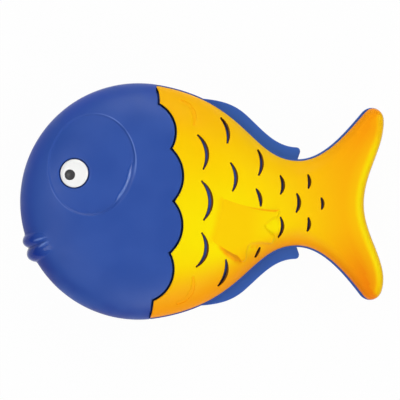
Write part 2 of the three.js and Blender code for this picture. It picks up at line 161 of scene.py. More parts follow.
def half_edge(tip_start, tip_end):
    """The upper edge from nose to fork: points with the rounding, the ledge and the trailing edge there."""
    tip = round_arc(TAIL_TIP, TAIL_TIP_RADIUS, tip_start, tip_end, TIP_STEPS)
    flare_end = tip[0] - along_round(tip_start, FLARE_TIP_PULL)
    flare = bent(WAIST, WAIST + Vector((WAIST_FLARE_PULL, 0, 0)), flare_end, tip[0], TAIL_STEPS)
    fork_start = tip[-1] + along_round(tip_end, FORK_TIP_PULL)
    fork = bent(tip[-1], fork_start, FORK + Vector((0, FORK_PULL, 0)), FORK, TAIL_STEPS)
    head = round_arc(BODY, BODY_RADIUS, math.pi, SHOULDER_ANGLE, HEAD_STEPS)
    waist_ledge = (LEDGE + FLARE_LEDGE) / 2
    stretches = [
        (head, BODY, BODY, LEDGE, LEDGE),
        (flank_points(FLANK_STEPS), BODY, TAIL_ROOT, LEDGE, waist_ledge),
        (flare, TAIL_ROOT, TAIL_TIP, waist_ledge, FLARE_LEDGE),
    ]
    edge = []
    for points, spine_start, spine_end, ledge_start, ledge_end in stretches:
        for i, point in enumerate(points[:-1]):
            share = i / (len(points) - 1)
            spine = spine_start.lerp(spine_end, share)
            ledge = ledge_start + (ledge_end - ledge_start) * share
            edge.append((point, ROUNDED_SHARE * (point - spine).length, ledge, 0.0))
    tip_rounding = ROUNDED_SHARE * TAIL_TIP_RADIUS
    for i, point in enumerate(tip[:-1]):
        fade = smooth_share(i, 0, len(tip) / 2)
        trailing = smooth_share(i, len(tip) / 2, len(tip))
        edge.append((point, tip_rounding, FLARE_LEDGE + (FORK_LEDGE - FLARE_LEDGE) * fade, trailing))
    for i, point in enumerate(fork):
        rounding = tip_rounding + (FORK_ROUNDING - tip_rounding) * i / (len(fork) - 1)
        edge.append((point, rounding, FORK_LEDGE, 1.0))
    return edge


upper_half = half_edge(UPPER_TIP_START, UPPER_TIP_END)
lower_half = half_edge(LOWER_TIP_START, LOWER_TIP_END)[-2:0:-1]
lower_half = [(Vector((p.x, -p.y, 0)), *values) for p, *values in lower_half]
edge_points, edge_rounding, edge_ledge, edge_trailing = zip(*(upper_half + lower_half))
print("outline:", len(edge_points), "points")


# %% Find the nearest edge
def flat(place):
    """A place as it is seen from the side, without its height."""
    return Vector((place.x, place.y, 0))


def tree_of(points):
    """A search tree that finds the nearest of many points in the side view."""
    tree = kdtree.KDTree(len(points))
    for i, point in enumerate(points):
        tree.insert(flat(point), i)
    tree.balance()
    return tree


edge_tree = tree_of(edge_points)


def nearest_edge(place):
    """The nearest point of the outline, its distance, and the width of the rounding there."""
    point, i, distance = edge_tree.find(flat(place))
    return point, distance, edge_rounding[i]


def ledge_at(place):
    return edge_ledge[edge_tree.find(flat(place))[1]]


def trailing_at(place):
    return edge_trailing[edge_tree.find(flat(place))[1]]


print("the tail's root lies", round(nearest_edge(TAIL_ROOT)[1], 1), "mm inside the outline")

# %% [markdown]
# ## The form of a side
#
# Each half swells from a low rim to a broad crown, like a lens with a flat top, and thins towards the
# tail. On the real toy one polished cavity gives the head and the cover this same form. So one function
# gives the height of that form at any place, and every sheet is laid on it. Walls under it are the same
# form again, moved in and lowered.

# %% Height of the form
CROWN_HALF = 17.0
TAIL_HALF = 6.5
TAPER_START = NOSE_X + 75.0
TAPER_LENGTH = 70.0
RIM_HALF = 2.0
ROUNDING_POWER = 2.2


def half_thickness(x):
    share = smooth_share(x, TAPER_START, TAPER_START + TAPER_LENGTH)
    return CROWN_HALF + (TAIL_HALF - CROWN_HALF) * share


def form_height(place, inset=0.0, drop=0.0, distance=None):
    """Height of the form above the parting plane, for a skin moved in and lowered by these amounts."""
    _, found, rounding = nearest_edge(place)
    inwards = (found if distance is None else distance) - inset
    share = clamped(inwards / (rounding - ROUNDED_SHARE * inset))
    swell = math.sqrt(1 - (1 - share) ** ROUNDING_POWER)
    return RIM_HALF + (half_thickness(place.x) - drop - RIM_HALF) * swell


print("crown height:", round(form_height(BODY), 2), "mm, tail:", round(form_height(TAIL_ROOT), 2), "mm")

# %% [markdown]
# ## The scalloped seam
#
# Blue meets yellow along four round scallops between five cusps, like a row of big scales. The moulds
# leave a narrow open gap there. The seam is drawn once as a chain of arcs. The head stops at it, and the
# cover starts a gap's width behind it.


# %% Tools for the seam
def bulge_arc(start, end, depth, steps):
    """Points of an arc between two ends that bulges by a depth to the left of the way."""
    way = end - start
    half_chord = way.length / 2
    radius = (half_chord**2 + depth**2) / (2 * depth)
    side = Vector((-way.y, way.x, 0)).normalized()
    centre = (start + end) / 2 + side * (depth - radius)
    reach = math.asin(half_chord / radius)
    spokes = [side.copy() for _ in range(steps + 1)]
    for i, spoke in enumerate(spokes):
        spoke.rotate(Matrix.Rotation(reach * (1 - 2 * i / steps), 3, "Z"))
    return [centre + radius * spoke for spoke in spokes]


# A loop spans at most this many stretches of a line.
LOOP_REACH = 16


def without_loops(line):
    """Cuts out the small loops where a line crosses itself, and keeps the crossing as a sharp corner."""
    kept = [line[0]]
    i = 0
    while i < len(line) - 1:
        for j in range(min(i + LOOP_REACH, len(line) - 2), i + 1, -1):
            ends = line[i : i + 2] + line[j : j + 2]
            crossing = geometry.intersect_line_line_2d(*(end.xy for end in ends))
            if crossing:
                kept.append(Vector((*crossing, 0)))
                i = j
                break
        i += 1
        kept.append(line[i])
    return kept


def moved_back(line, distance):
    """A line that runs from back to belly, moved towards the tail."""
    moved = []
    for a, b in zip(line, line[1:]):
        side = distance * Vector((a.y - b.y, b.x - a.x, 0)).normalized()
        moved += [a + side, b + side]
    middles = [(p + q) / 2 for p, q in zip(moved[1::2], moved[2::2])]
    return without_loops([moved[0]] + middles + [moved[-1]])


# %% Draw the seam
# The corners are measured from the mark and run from the back to the belly.
SEAM_CORNERS = [
    (3.6, 50.5), (8.0, 39.7), (13.25, 21.6), (14.35, 0.3), (13.05, -20.8), (6.5, -40.1), (4.1, -50.5),
]
SCALLOP_DEPTHS = (1.5, 4.3, 4.6, 4.6, 4.65, 0.4)
SEAM_GAP = 0.85
SEAM_STEPS = 26


def draw_seam():
    corners = [MARK + Vector((x, y, 0)) for x, y in SEAM_CORNERS]
    line = [corners[0]]
    for start, end, depth in zip(corners, corners[1:], SCALLOP_DEPTHS):
        line += bulge_arc(start, end, depth, SEAM_STEPS)[1:]
    return line


head_edge = draw_seam()
cover_edge = moved_back(head_edge, SEAM_GAP)
print("seam:", len(head_edge), "points on the head,", len(cover_edge), "on the cover")

# %% [markdown]
# ## Sheets and rows
#
# A moulded wall is a smooth sheet with edges that roll over. A sheet could be a plain grid, but then its
# borders would be jagged, and bmesh's triangle_fill goes wrong where one sheet has many holes. So the
# border loops are drawn first, and Blender's constrained Delaunay fill lays a net of even triangles
# between them, which keeps every border exact. Then rows of faces are extruded from each border, and
# every new row is set on the profile of the edge: a rounding, a wall, a step.


# %% Loops of edges
def add_loop(bm, points):
    verts = [bm.verts.new(p) for p in points]
    return [bm.edges.new(pair) for pair in zip(verts, verts[1:] + verts[:1])]


def loop_verts(edges):
    return list(dict.fromkeys(v for e in edges for v in e.verts))


def walk_loops(edges):
    """Sorts edges into closed loops of vertices, each anticlockwise from above, the largest one first."""
    waiting = set(edges)
    loops = []
    while waiting:
        edge = waiting.pop()
        loop, tip = [edge.verts[0]], edge.verts[1]
        while tip is not loop[0]:
            loop.append(tip)
            edge = next(e for e in tip.link_edges if e in waiting)
            waiting.remove(edge)
            tip = edge.other_vert(tip)
        area = sum(a.co.xy.cross(b.co.xy) for a, b in zip(loop, loop[1:] + loop[:1]))
        loops.append((abs(area), loop if area > 0 else loop[::-1]))
    return [loop for area, loop in sorted(loops, key=lambda pair: -pair[0])]


def open_borders(bm):
    """The open edges, sorted into loops."""
    waiting = {e for e in bm.edges if e.is_boundary}
    loops = []
    while waiting:
        chain = [waiting.pop()]
        for edge in chain:
            found = [e for v in edge.verts for e in v.link_edges if e in waiting]
            waiting.difference_update(found)
            chain += found
        loops.append(chain)
    return loops


def outer_border(bm):
    return max(open_borders(bm), key=lambda edges: sum(e.calc_length() for e in edges))


def hole_borders(bm):
    outer = outer_border(bm)
    return [edges for edges in open_borders(bm) if edges[0] not in outer]


def hole_at(bm, middle):
    """The border of the hole whose middle is nearest to a place."""

    def off_middle(edges):
        verts = loop_verts(edges)
        return (sum((flat(v.co) for v in verts), Vector()) / len(verts) - middle).length

    return min(hole_borders(bm), key=off_middle)


# %% A net between loops
NET = 1.0
# Points of the net keep this share of its width away from the loops, and points this close are one.
NET_ROOM = 0.6
NET_MERGE = 1e-6
# This kind of fill keeps only what lies inside the loops.
FILL_INSIDE = 1


def lay_net(bm, edges, net=NET):
    """Fills the space between an outer loop and its holes, from above, and returns all its vertices."""
    loops = walk_loops(edges)
    border = [v for loop in loops for v in loop]
    number = {v: i for i, v in enumerate(border)}
    points = [v.co.xy for v in border]
    near = tree_of(points)
    low_x, high_x = min(p.x for p in points), max(p.x for p in points)
    low_y, high_y = min(p.y for p in points), max(p.y for p in points)
    row_height = net * math.sin(math.radians(60))
    for row in range(math.floor(low_y / row_height), math.ceil(high_y / row_height) + 1):
        for column in range(math.floor(low_x / net), math.ceil(high_x / net) + 1):
            point = Vector((net * (column + 0.5 * (row % 2)), row_height * row))
            if near.find(flat(point))[2] > NET_ROOM * net:
                points.append(point)
    rings = [[number[v] for v in loop] for loop in loops]
    filled = geometry.delaunay_2d_cdt(points, [], rings, FILL_INSIDE, NET_MERGE)
    spots, _, corners, starts, _, owners = filled
    kept = [face for face, owner in zip(corners, owners) if list(owner) == [0]]
    made = {}
    for corner in {c for face in kept for c in face}:
        start = starts[corner][0] if starts[corner] else len(border)
        made[corner] = border[start] if start < len(border) else bm.verts.new((*spots[corner], 0))
    for face in kept:
        bm.faces.new([made[c] for c in face])
    return list(made.values())


# %% Rows of faces
def verts_of(made):
    return [g for g in made if isinstance(g, bmesh.types.BMVert)]


def draw_row(bm, edges, place):
    """Extrudes one row of faces from a border and puts every new vertex where place says."""
    made = bmesh.ops.extrude_edge_only(bm, edges=edges)["geom"]
    for v in verts_of(made):
        v.co = place(v)
    return [g for g in made if isinstance(g, bmesh.types.BMEdge) and g.is_boundary]


# %% [markdown]
# ## A moulded wall
#
# Head, cover and deck are all walls of a few millimetres: an outside, a hidden inside and the edges
# between. The inside is a copy of the outside sheet, laid on the form again but lower. The edge could be
# closed with a flat band, but on the toy it rolls down to the rim, turns under and comes up inside. So
# rows are extruded along that path until they reach the inner sheet, and a bridge closes the wall.


# %% Notes on vertices
def new_sheet():
    """An empty mesh whose vertices note where they started, on which border, and their polish, painted
    gleam, painted shade and painted highlights.
    """
    bm = bmesh.new()
    bm.verts.layers.float_vector.new("home")
    bm.verts.layers.int.new("kind")
    bm.verts.layers.float.new("polish_and_painted_gleam")
    bm.verts.layers.float.new("depth")
    return bm


def note(bm, layer_name, verts, value):
    layer = bm.verts.layers.float[layer_name]
    for v in verts:
        v[layer] = value


# %% Places along the rim and the seam
RING_STRIDE = 7
SEAM_SPARE = 0.1


def ring_inside(distance):
    """The outline moved in by a distance, as a closed loop."""
    ring = []
    count = len(edge_points)
    for i in range(0, count, RING_STRIDE):
        way = (edge_points[(i + 1) % count] - edge_points[i - 1]).normalized()
        ring.append(edge_points[i] + distance * Vector((way.y, -way.x, 0)))
    return ring


def ring_from_nose(end, distance):
    """The inner ring from nose to fork, along the back or the belly, wherever an end of the seam lies."""
    ring = ring_inside(distance)
    run = ring if end.y > 0 else ring[:1] + ring[:0:-1]
    return run[: len(run) // 2 + 1]


def seam_place(line, upwards, distance):
    """The point of a seam line that lies this far inside the round body, at the back or the belly."""
    radius = BODY_RADIUS - distance
    middle = len(line) // 2
    run = line[middle::-1] if upwards else line[middle:]
    for a, b in zip(run, run[1:]):
        near, far = (a - BODY).length, (b - BODY).length
        if near <= radius < far:
            return a.lerp(b, (radius - near) / (far - near))


def seam_stretch(line, distance):
    """The part of a seam line from its upper to its lower place at a distance from the edge."""
    radius = BODY_RADIUS - distance - SEAM_SPARE
    inner = [p for p in line if (p - BODY).length < radius]
    return [seam_place(line, True, distance)] + inner + [seam_place(line, False, distance)]


def towards_edge(home, start, distance):
    """A place on the way from home, which lies start inside the outline, to the outline."""
    point = nearest_edge(home)[0]
    return point + (flat(home) - point) * (distance / start)


# %% The inside of a wall
def bridge(bm, upper, lower):
    bmesh.ops.bridge_loops(bm, edges=upper + lower)


def add_inside(bm, under, go_through=None):
    """Lays a copy of the sheet on the under surface, joins the holes and returns both outer borders."""
    outer = outer_border(bm)
    holes = hole_borders(bm)
    made = bmesh.ops.duplicate(bm, geom=bm.faces[:])
    twin = made["edge_map"]
    for v in verts_of(made["geom"]):
        v.co.z = under(v.co)
    for hole in holes:
        lower = [twin[e] for e in hole]
        bridge(bm, go_through(bm, hole) if go_through else hole, lower)
    return outer, [twin[e] for e in outer]


# %% From a closed mesh to a piece
MILLIMETRE = 0.001
SHARP_ANGLE = math.radians(38)


def add_object(name, data):
    """Puts a mesh, a lamp or a camera into the scene."""
    thing = bpy.data.objects.new(name, data)
    bpy.context.scene.collection.objects.link(thing)
    return thing


def mesh_object(bm, name, material):
    mesh = bpy.data.meshes.new(name)
    bm.to_mesh(mesh)
    bm.free()
    mesh.materials.append(material)
    return add_object(name, mesh)


def finish_mesh(bm, name, material):
    """Turns a closed mesh into metres at its place on the toy's left side and makes it an object."""
    bmesh.ops.recalc_face_normals(bm, faces=bm.faces[:])
    bmesh.ops.triangulate(bm, faces=[f for f in bm.faces if len(f.verts) > 4])
    rim = bm.verts.layers.float.new("rim")
    trailing = bm.verts.layers.float.new("trailing")
    for v in bm.verts:
        _, distance, rounding = nearest_edge(v.co)
        v[rim] = distance / rounding
        v[trailing] = trailing_at(v.co)
    bm.verts.layers.float_vector.remove(bm.verts.layers.float_vector["home"])
    bm.verts.layers.int.remove(bm.verts.layers.int["kind"])
    place = Matrix.Scale(MILLIMETRE, 4) @ Matrix.Translation((0, 0, CROWN_HALF))
    bmesh.ops.transform(bm, matrix=place, verts=bm.verts[:])
    piece = mesh_object(bm, name, material)
    piece.data.shade_smooth()
    piece.data.set_sharp_from_angle(angle=SHARP_ANGLE)
    return piece


def leaks(piece):
    """How many edges of a piece don't join exactly two faces."""
    bm = bmesh.new()
    bm.from_mesh(piece.data)
    count = sum(1 for e in bm.edges if not e.is_manifold)
    bm.free()
    return count


# %% [markdown]
# ## The blue head
#
# The head is one smooth shell with an oval dish round the eye, a round socket for the eye and a pair of
# lips at the rim. The dish is a step of less than a millimetre that sinks deeper towards the crown. It is
# made as a hole in the sheet with rows that step down, and a floor that is filled in again. The socket
# has a seat that carries the eye and a hole for its stem, so its rows go down, in and through before they
# meet the inside. The lips and the two small folds at the corner of the mouth are swellings, so the
# finished wall is pushed outwards there along its own normals.

# %% The dish
DISH = MARK + Vector((-18.6, 14.9, 0))
DISH_HALF_WIDTH = 18.2
DISH_HALF_HEIGHT = 21.1
DISH_TILT = math.radians(-7)
DISH_EDGE = 0.35
DISH_STEP = 1.1
DISH_WIDE_STEP = 2.8
DISH_DEPTH_FRONT = 0.45
DISH_DEPTH_BACK = 0.85


def dish_place(turn, shrink):
    """A place on the dish's oval, shrunk all round by an amount."""
    half_width, half_height = DISH_HALF_WIDTH - shrink, DISH_HALF_HEIGHT - shrink
    oval = Vector((half_width * math.cos(turn), half_height * math.sin(turn), 0))
    oval.rotate(Matrix.Rotation(DISH_TILT, 3, "Z"))
    return DISH + oval


def dish_turn(place, shrink):
    local = flat(place) - DISH
    local.rotate(Matrix.Rotation(-DISH_TILT, 3, "Z"))
    return math.atan2(local.y / (DISH_HALF_HEIGHT - shrink), local.x / (DISH_HALF_WIDTH - shrink))


def dish_depth(place):
    across = (place.x - DISH.x) / DISH_HALF_WIDTH
    return DISH_DEPTH_FRONT + (DISH_DEPTH_BACK - DISH_DEPTH_FRONT) * smooth_share(across, -1, 1)


front, back = dish_depth(dish_place(math.pi, 0)), dish_depth(dish_place(0, 0))
print("dish:", round(front, 2), "to", round(back, 2), "mm deep")

# %% Polish and painted highlights of the dish
# Each stretch of the dish's edge has its middle and its half length, as turns.
DISH_POLISHED = (math.radians(-18), math.radians(26))
DISH_POLISHED_FADE = (0.6, 1.4)
DISH_POLISH = 0.25
# A thin line at the edge and a streak low at the back are painted highlights, pale blue where lamps would
# glint on the step.
DISH_UPPER_LINE = (math.radians(42), math.radians(62))
DISH_LOWER_LINE = (math.radians(-124), math.radians(34))
DISH_STREAK = (math.radians(-21), math.radians(26))
DISH_HIGHLIGHT_FADE = (0.4, 1.1)
DISH_LEAST_HIGHLIGHT = 0.15
DISH_UPPER_HIGHLIGHT = 0.75
DISH_LOWER_HIGHLIGHT = 0.45
DISH_LINE_WIDTH = (0.1, 0.4)
DISH_STEP_MIDDLE = 0.5


def near_turn(turn, stretch, fade):
    """1 on a stretch of the dish's edge and 0 away from it."""
    middle, half = stretch
    return 1 - smooth_share(abs(turn - middle) / half, *fade)


def dish_polished(turn):
    """1 where the dish's step is wide and polished, at its lower back, and 0 elsewhere."""
    return near_turn(turn, DISH_POLISHED, DISH_POLISHED_FADE)


def dish_step(turn):
    return DISH_STEP + (DISH_WIDE_STEP - DISH_STEP) * dish_polished(turn)


def dish_painted_highlight(turn, share):
    """How strong the painted highlight on the dish's edge is: a thin line at its outer edge, and a streak
    low at its back.
    """
    if share > DISH_STEP_MIDDLE:
        return near_turn(turn, DISH_STREAK, DISH_HIGHLIGHT_FADE)
    upper = DISH_UPPER_HIGHLIGHT * near_turn(turn, DISH_UPPER_LINE, DISH_HIGHLIGHT_FADE)
    lower = DISH_LOWER_HIGHLIGHT * near_turn(turn, DISH_LOWER_LINE, DISH_HIGHLIGHT_FADE)
    return max(DISH_LEAST_HIGHLIGHT, upper, lower) * (1 - smooth_share(share, *DISH_LINE_WIDTH))


# %% The socket of the eye
EYE_TILT = math.radians(10)
EYE_RADIUS = 5.75
EYE_CLEARANCE = 0.3
EYE_EDGE = 1.7
EYE_STEM = 2.4
EYE_SEAT_WALL = 1.8
EYE_SEAT = MARK + Vector((-25.35, 11.1, CROWN_HALF - 3.4))
SOCKET_GAP = 0.5
SOCKET_ROUNDING = 0.4

tilt_axis = Vector((-EYE_SEAT.y, EYE_SEAT.x - BODY.x, 0))
eye_frame = Matrix.Translation(EYE_SEAT) @ Matrix.Rotation(EYE_TILT, 4, tilt_axis)


def socket_place(turn, radius):
    spoke = Vector((radius * math.cos(turn), radius * math.sin(turn), EYE_CLEARANCE + EYE_EDGE))
    return flat(eye_frame @ spoke)


socket_middle = socket_place(0, 0)
print("eye socket at", socket_middle.to_tuple(1))

# %% Lips and folds
LIP_REACH = 11.0
LIP_FADE_POWER = 1.4
LIP_FULLNESS = 0.8
# Each lip has its middle and its half width, as turns below the nose, and its height.
UPPER_LIP = (math.radians(20.5), math.radians(3.4), 1.85)
LOWER_LIP = (math.radians(27.3), math.radians(4.1), 2.4)
# Each fold is a ridge between two places.
FOLDS = [((-68.7, -16.4), (-63.3, -14.8)), ((-66.7, -19.2), (-62.5, -16.2))]
FOLD_HALF = 0.75
FOLD_HEIGHT = 0.35


def lip_swell(place):
    """How far the lips push the wall of the head out at a place."""
    spoke = Vector((BODY.x - place.x, -place.y, 0))
    inwards = BODY_RADIUS - spoke.length
    if inwards > LIP_REACH:
        return 0.0
    fade = (1 - max(inwards, 0) / LIP_REACH) ** LIP_FADE_POWER
    turn = math.atan2(spoke.y, spoke.x)
    swell = 0.0
    for middle, half_width, height in (UPPER_LIP, LOWER_LIP):
        share = abs(turn - middle) / half_width
        if share < 1:
            swell = max(swell, height * math.cos(share * math.pi / 2) ** LIP_FULLNESS)
    return swell * fade


def fold_swell(place):
    """How far the two small folds at the corner of the mouth stand out at a place."""
    spot = flat(place)
    swell = 0.0
    for start, end in FOLDS:
        a, b = Vector((*start, 0)), Vector((*end, 0))
        share = clamped(geometry.intersect_point_line(spot, a, b)[1])
        off = (a.lerp(b, share) - spot).length / FOLD_HALF
        if off < 1:
            crest = math.sin(math.pi * share) * math.cos(off * math.pi / 2) ** 2
            swell = max(swell, FOLD_HEIGHT * crest)
    return swell


# %% The inside of the head
HEAD_WALL = 2.4
# Beside the seam the wall is thicker, because the deck hides in it.
SEAM_WALL = 4.5
SEAM_WALL_END = 3.0
SEAM_WALL_START = 9.0
seam_tree = tree_of(head_edge)


def under_head(place):
    to_seam = seam_tree.find(flat(place))[2]
    wall = SEAM_WALL + (HEAD_WALL - SEAM_WALL) * smooth_share(to_seam, SEAM_WALL_END, SEAM_WALL_START)
    return form_height(place, HEAD_WALL, wall)


print("head wall at the crown:", round(form_height(DISH) - under_head(DISH), 2), "mm")

# %% The outside of the head
HEAD_ROLL = 4.0
SEAM_ROUNDING = 0.3
SEAM_MARGIN = 0.2
DISH_POINTS = 180
DISH_ROWS = 8
SOCKET_POINTS = 72
# A small rounding is drawn in two rows, at these turns.
ROUND_TURNS = (math.radians(45), math.radians(90))


def ring_ahead(end, distance):
    """The ring from the nose to just before one end of the seam."""
    return [p for p in ring_from_nose(end, distance) if p.x < end.x - SEAM_MARGIN]


def head_sheet():
    """The head's outside as an open sheet with a hole for the dish, and its border along the seam."""
    bm = new_sheet()
    border = seam_stretch(moved_back(head_edge, -SEAM_ROUNDING), HEAD_ROLL)
    back = ring_ahead(border[0], HEAD_ROLL)
    belly = ring_ahead(border[-1], HEAD_ROLL)[:0:-1]
    dish_loop = [dish_place(math.tau * i / DISH_POINTS, -DISH_EDGE) for i in range(DISH_POINTS)]
    edges = add_loop(bm, border + belly + back) + add_loop(bm, dish_loop)
    for v in lay_net(bm, edges):
        v.co.z = form_height(v.co)
    return bm, border


def step_into_dish(bm):
    """Draws the dish's step down from its hole and returns the edge of its floor."""
    rim = hole_borders(bm)[0]
    home = bm.verts.layers.float_vector["home"]
    for v in loop_verts(rim):
        v[home] = (dish_turn(v.co, -DISH_EDGE), 0, 0)
    for i in range(DISH_ROWS + 1):
        share = i / DISH_ROWS

        def step_down(v):
            place = dish_place(v[home].x, share * dish_step(v[home].x))
            place.z = form_height(place) - smooth_share(share, 0, 1) * dish_depth(place)
            return place

        rim = draw_row(bm, rim, step_down)
        for v in loop_verts(rim):
            polished = dish_polished(v[home].x) if share > DISH_STEP_MIDDLE else 0.0
            note(bm, "polish_and_painted_gleam", [v], DISH_POLISH + (1 - DISH_POLISH) * polished)
            # The depth note on the step is a painted highlight.
            note(bm, "depth", [v], dish_painted_highlight(v[home].x, share))
    note(bm, "depth", loop_verts(rim), 0.0)
    return rim


def lay_dish_floor(bm, rim):
    """Fills the dish's floor, with a hole for the socket, and rounds the socket's edge."""
    wide = EYE_RADIUS + SOCKET_GAP
    turns = [math.tau * i / SOCKET_POINTS for i in range(SOCKET_POINTS)]
    socket = [socket_place(turn, wide + SOCKET_ROUNDING) for turn in turns]
    for v in lay_net(bm, rim + add_loop(bm, socket)):
        v.co.z = form_height(v.co) - dish_depth(v.co)
    rim = hole_at(bm, socket_middle)
    for turn in ROUND_TURNS:

        def round_over(v):
            spoke = v.co - socket_middle
            radius = wide + SOCKET_ROUNDING * (1 - math.sin(turn))
            place = socket_place(math.atan2(spoke.y, spoke.x), radius)
            place.z = form_height(place) - dish_depth(place) - SOCKET_ROUNDING * (1 - math.cos(turn))
            return place

        rim = draw_row(bm, rim, round_over)
        note(bm, "polish_and_painted_gleam", loop_verts(rim), 1.0)


def draw_socket(bm, edges):
    """Draws the socket's wall and seat, the hole for the eye's stem, and the boss behind the seat."""
    wide = EYE_RADIUS + SOCKET_GAP
    narrow = EYE_STEM + EYE_CLEARANCE
    into_eye = eye_frame.inverted()
    for radius, height in ((wide, 0), (narrow, 0), (narrow, -EYE_SEAT_WALL), (wide, -EYE_SEAT_WALL)):

        def go_down(v):
            spoke = (into_eye @ v.co).xy.normalized()
            return eye_frame @ Vector((radius * spoke.x, radius * spoke.y, height))

        edges = draw_row(bm, edges, go_down)
        note(bm, "polish_and_painted_gleam", loop_verts(edges), 0.0)
    return edges


# %% Edges that roll to the rim
# A border vertex lies on the rim, on the seam or on a corner between them.
RIM, SEAM, CORNER = 0, 1, 2
# A vertex this close to a point of the seam lies on it.
CLOSE = 0.001
SEAM_TURNS = (math.radians(30), math.radians(60), math.radians(90))
ROLL_ROWS = 9
# Shares of the way in from the rim for the rows of a rolled edge, closer together at the rim.
ROLL_SHARES = [(1 - i / ROLL_ROWS) ** 2 for i in range(1, ROLL_ROWS + 1)]


def nearest_on(line, place):
    """The nearest point on a chain of straight stretches."""
    spot = flat(place)
    best = None
    for a, b in zip(line, line[1:]):
        point = a.lerp(b, clamped(geometry.intersect_point_line(spot, a, b)[1]))
        if best is None or (point - spot).length < (best - spot).length:
            best = point
    return best


def mark_border(bm, verts, seam_border):
    """Notes for each border vertex where it starts, and if it lies on the rim, the seam or a corner."""
    home = bm.verts.layers.float_vector["home"]
    kind = bm.verts.layers.int["kind"]
    for v in verts:
        v[home] = v.co
        spot = flat(v.co)
        if min((spot - end).length for end in (seam_border[0], seam_border[-1])) < CLOSE:
            v[kind] = CORNER
        elif min((spot - point).length for point in seam_border) < CLOSE:
            v[kind] = SEAM
        else:
            v[kind] = RIM
    return home, kind


def roll_edge(bm, border, seam_border, seam_line, start, profile, under):
    """Draws all rows of a wall's edge: rolled along the rim, and rounded then straight down at the seam."""
    home, kind = mark_border(bm, loop_verts(border), seam_border)
    last_turn = len(SEAM_TURNS) - 1
    for i, (distance_at, height_at) in enumerate(profile):

        def place_row(v):
            begin = v[home]
            if v[kind] == SEAM:
                turn = SEAM_TURNS[min(i, last_turn)]
                place = nearest_on(seam_line, begin).lerp(flat(begin), 1 - math.sin(turn))
                top = begin.z - SEAM_ROUNDING * (1 - math.cos(turn))
                down = max(i - last_turn, 0) / (len(profile) - len(SEAM_TURNS))
                place.z = top + (under(begin) - top) * down
                return place
            distance = distance_at(begin)
            if v[kind] == CORNER:
                place = seam_place(seam_line, begin.y > 0, distance)
            else:
                place = towards_edge(begin, start, distance)
            place.z = height_at(place, distance)
            return place

        border = draw_row(bm, border, place_row)
    return border


# %% Profile of the head's edge
# Each row of a profile has a distance from the rim and a height.
PARTING_HALF = 0.15
PARTING_CHAMFER = 0.25
HEAD_INNER_ROWS = (0.05, 0.3, 0.8)


def fixed(distance):
    return lambda place: distance


def level(height):
    return lambda place, distance: height


def on_form(inset=0.0, drop=0.0, lowest=PARTING_HALF):
    return lambda place, distance: max(form_height(place, inset, drop, distance), lowest)


head_profile = [(fixed(HEAD_ROLL * share), on_form()) for share in ROLL_SHARES]
head_profile += [
    (fixed(0), level(PARTING_HALF + PARTING_CHAMFER)),
    (fixed(PARTING_CHAMFER), level(PARTING_HALF)),
    (fixed(HEAD_WALL), level(PARTING_HALF)),
    (fixed(HEAD_WALL), level(RIM_HALF)),
]
head_profile += [(fixed(HEAD_WALL + row), on_form(HEAD_WALL, HEAD_WALL)) for row in HEAD_INNER_ROWS]
print("edge of the head:", len(head_profile), "rows")

# %% Model the head
MOUTH_CUTS = 2
RIM_BAND = 1.0
LIP_POLISHED = 0.5


def mouth_swell(v):
    """How far lips and folds push a vertex, if it lies on the head's outside."""
    swell = lip_swell(v.co) + fold_swell(v.co)
    if swell > 0 and v.co.z <= form_height(v.co) - HEAD_WALL / 2:
        at_rim = (v.co.xy - BODY.xy).length > BODY_RADIUS - RIM_BAND
        return swell if at_rim else 0.0
    return swell


def push_lips(bm):
    """Divides the net at the mouth and pushes lips and folds out, but not past the parting gap."""
    mouth = [e for e in bm.edges if all(mouth_swell(v) > 0 for v in e.verts)]
    cut = bmesh.ops.subdivide_edges(bm, edges=mouth, cuts=MOUTH_CUTS, use_grid_fill=True)
    for v in verts_of(cut["geom_inner"]):
        if nearest_edge(v.co)[1] > HEAD_ROLL:
            v.co.z = form_height(v.co)
    bmesh.ops.recalc_face_normals(bm, faces=bm.faces[:])
    bm.normal_update()
    pushes = {v: v.normal * mouth_swell(v) for v in bm.verts if mouth_swell(v) > 0}
    for v, push in pushes.items():
        # The depth note on the folds is a painted highlight along their crests.
        note(bm, "depth", [v], fold_swell(v.co) / FOLD_HEIGHT)
        note(bm, "polish_and_painted_gleam", [v], min(push.length / LIP_POLISHED, 1.0))
        v.co += push
        v.co.z = max(v.co.z, PARTING_HALF)
    return len(pushes)


def make_head(material):
    bm, seam_border = head_sheet()
    lay_dish_floor(bm, step_into_dish(bm))
    outer, inner = add_inside(bm, under_head, draw_socket)
    last = roll_edge(bm, outer, seam_border, head_edge, HEAD_ROLL, head_profile, under_head)
    bridge(bm, last, inner)
    print("lips push", push_lips(bm), "vertices")
    return finish_mesh(bm, "left_head", material)


# %% [markdown]
# ## The yellow cover
#
# The cover is a thin moulded skin from the scalloped seam to the tail. Rows of crescent slots are cut
# through it like scales, and get smaller towards the tail. Cutting them with a boolean would leave ragged
# edges, so each slot is a hole in the sheet from the start, with its edge rounded over. Two more
# crescents near the back and the belly are only pressed in. The raised pectoral fin is a hole too, with
# rows that climb its wall and a top that is filled in again.

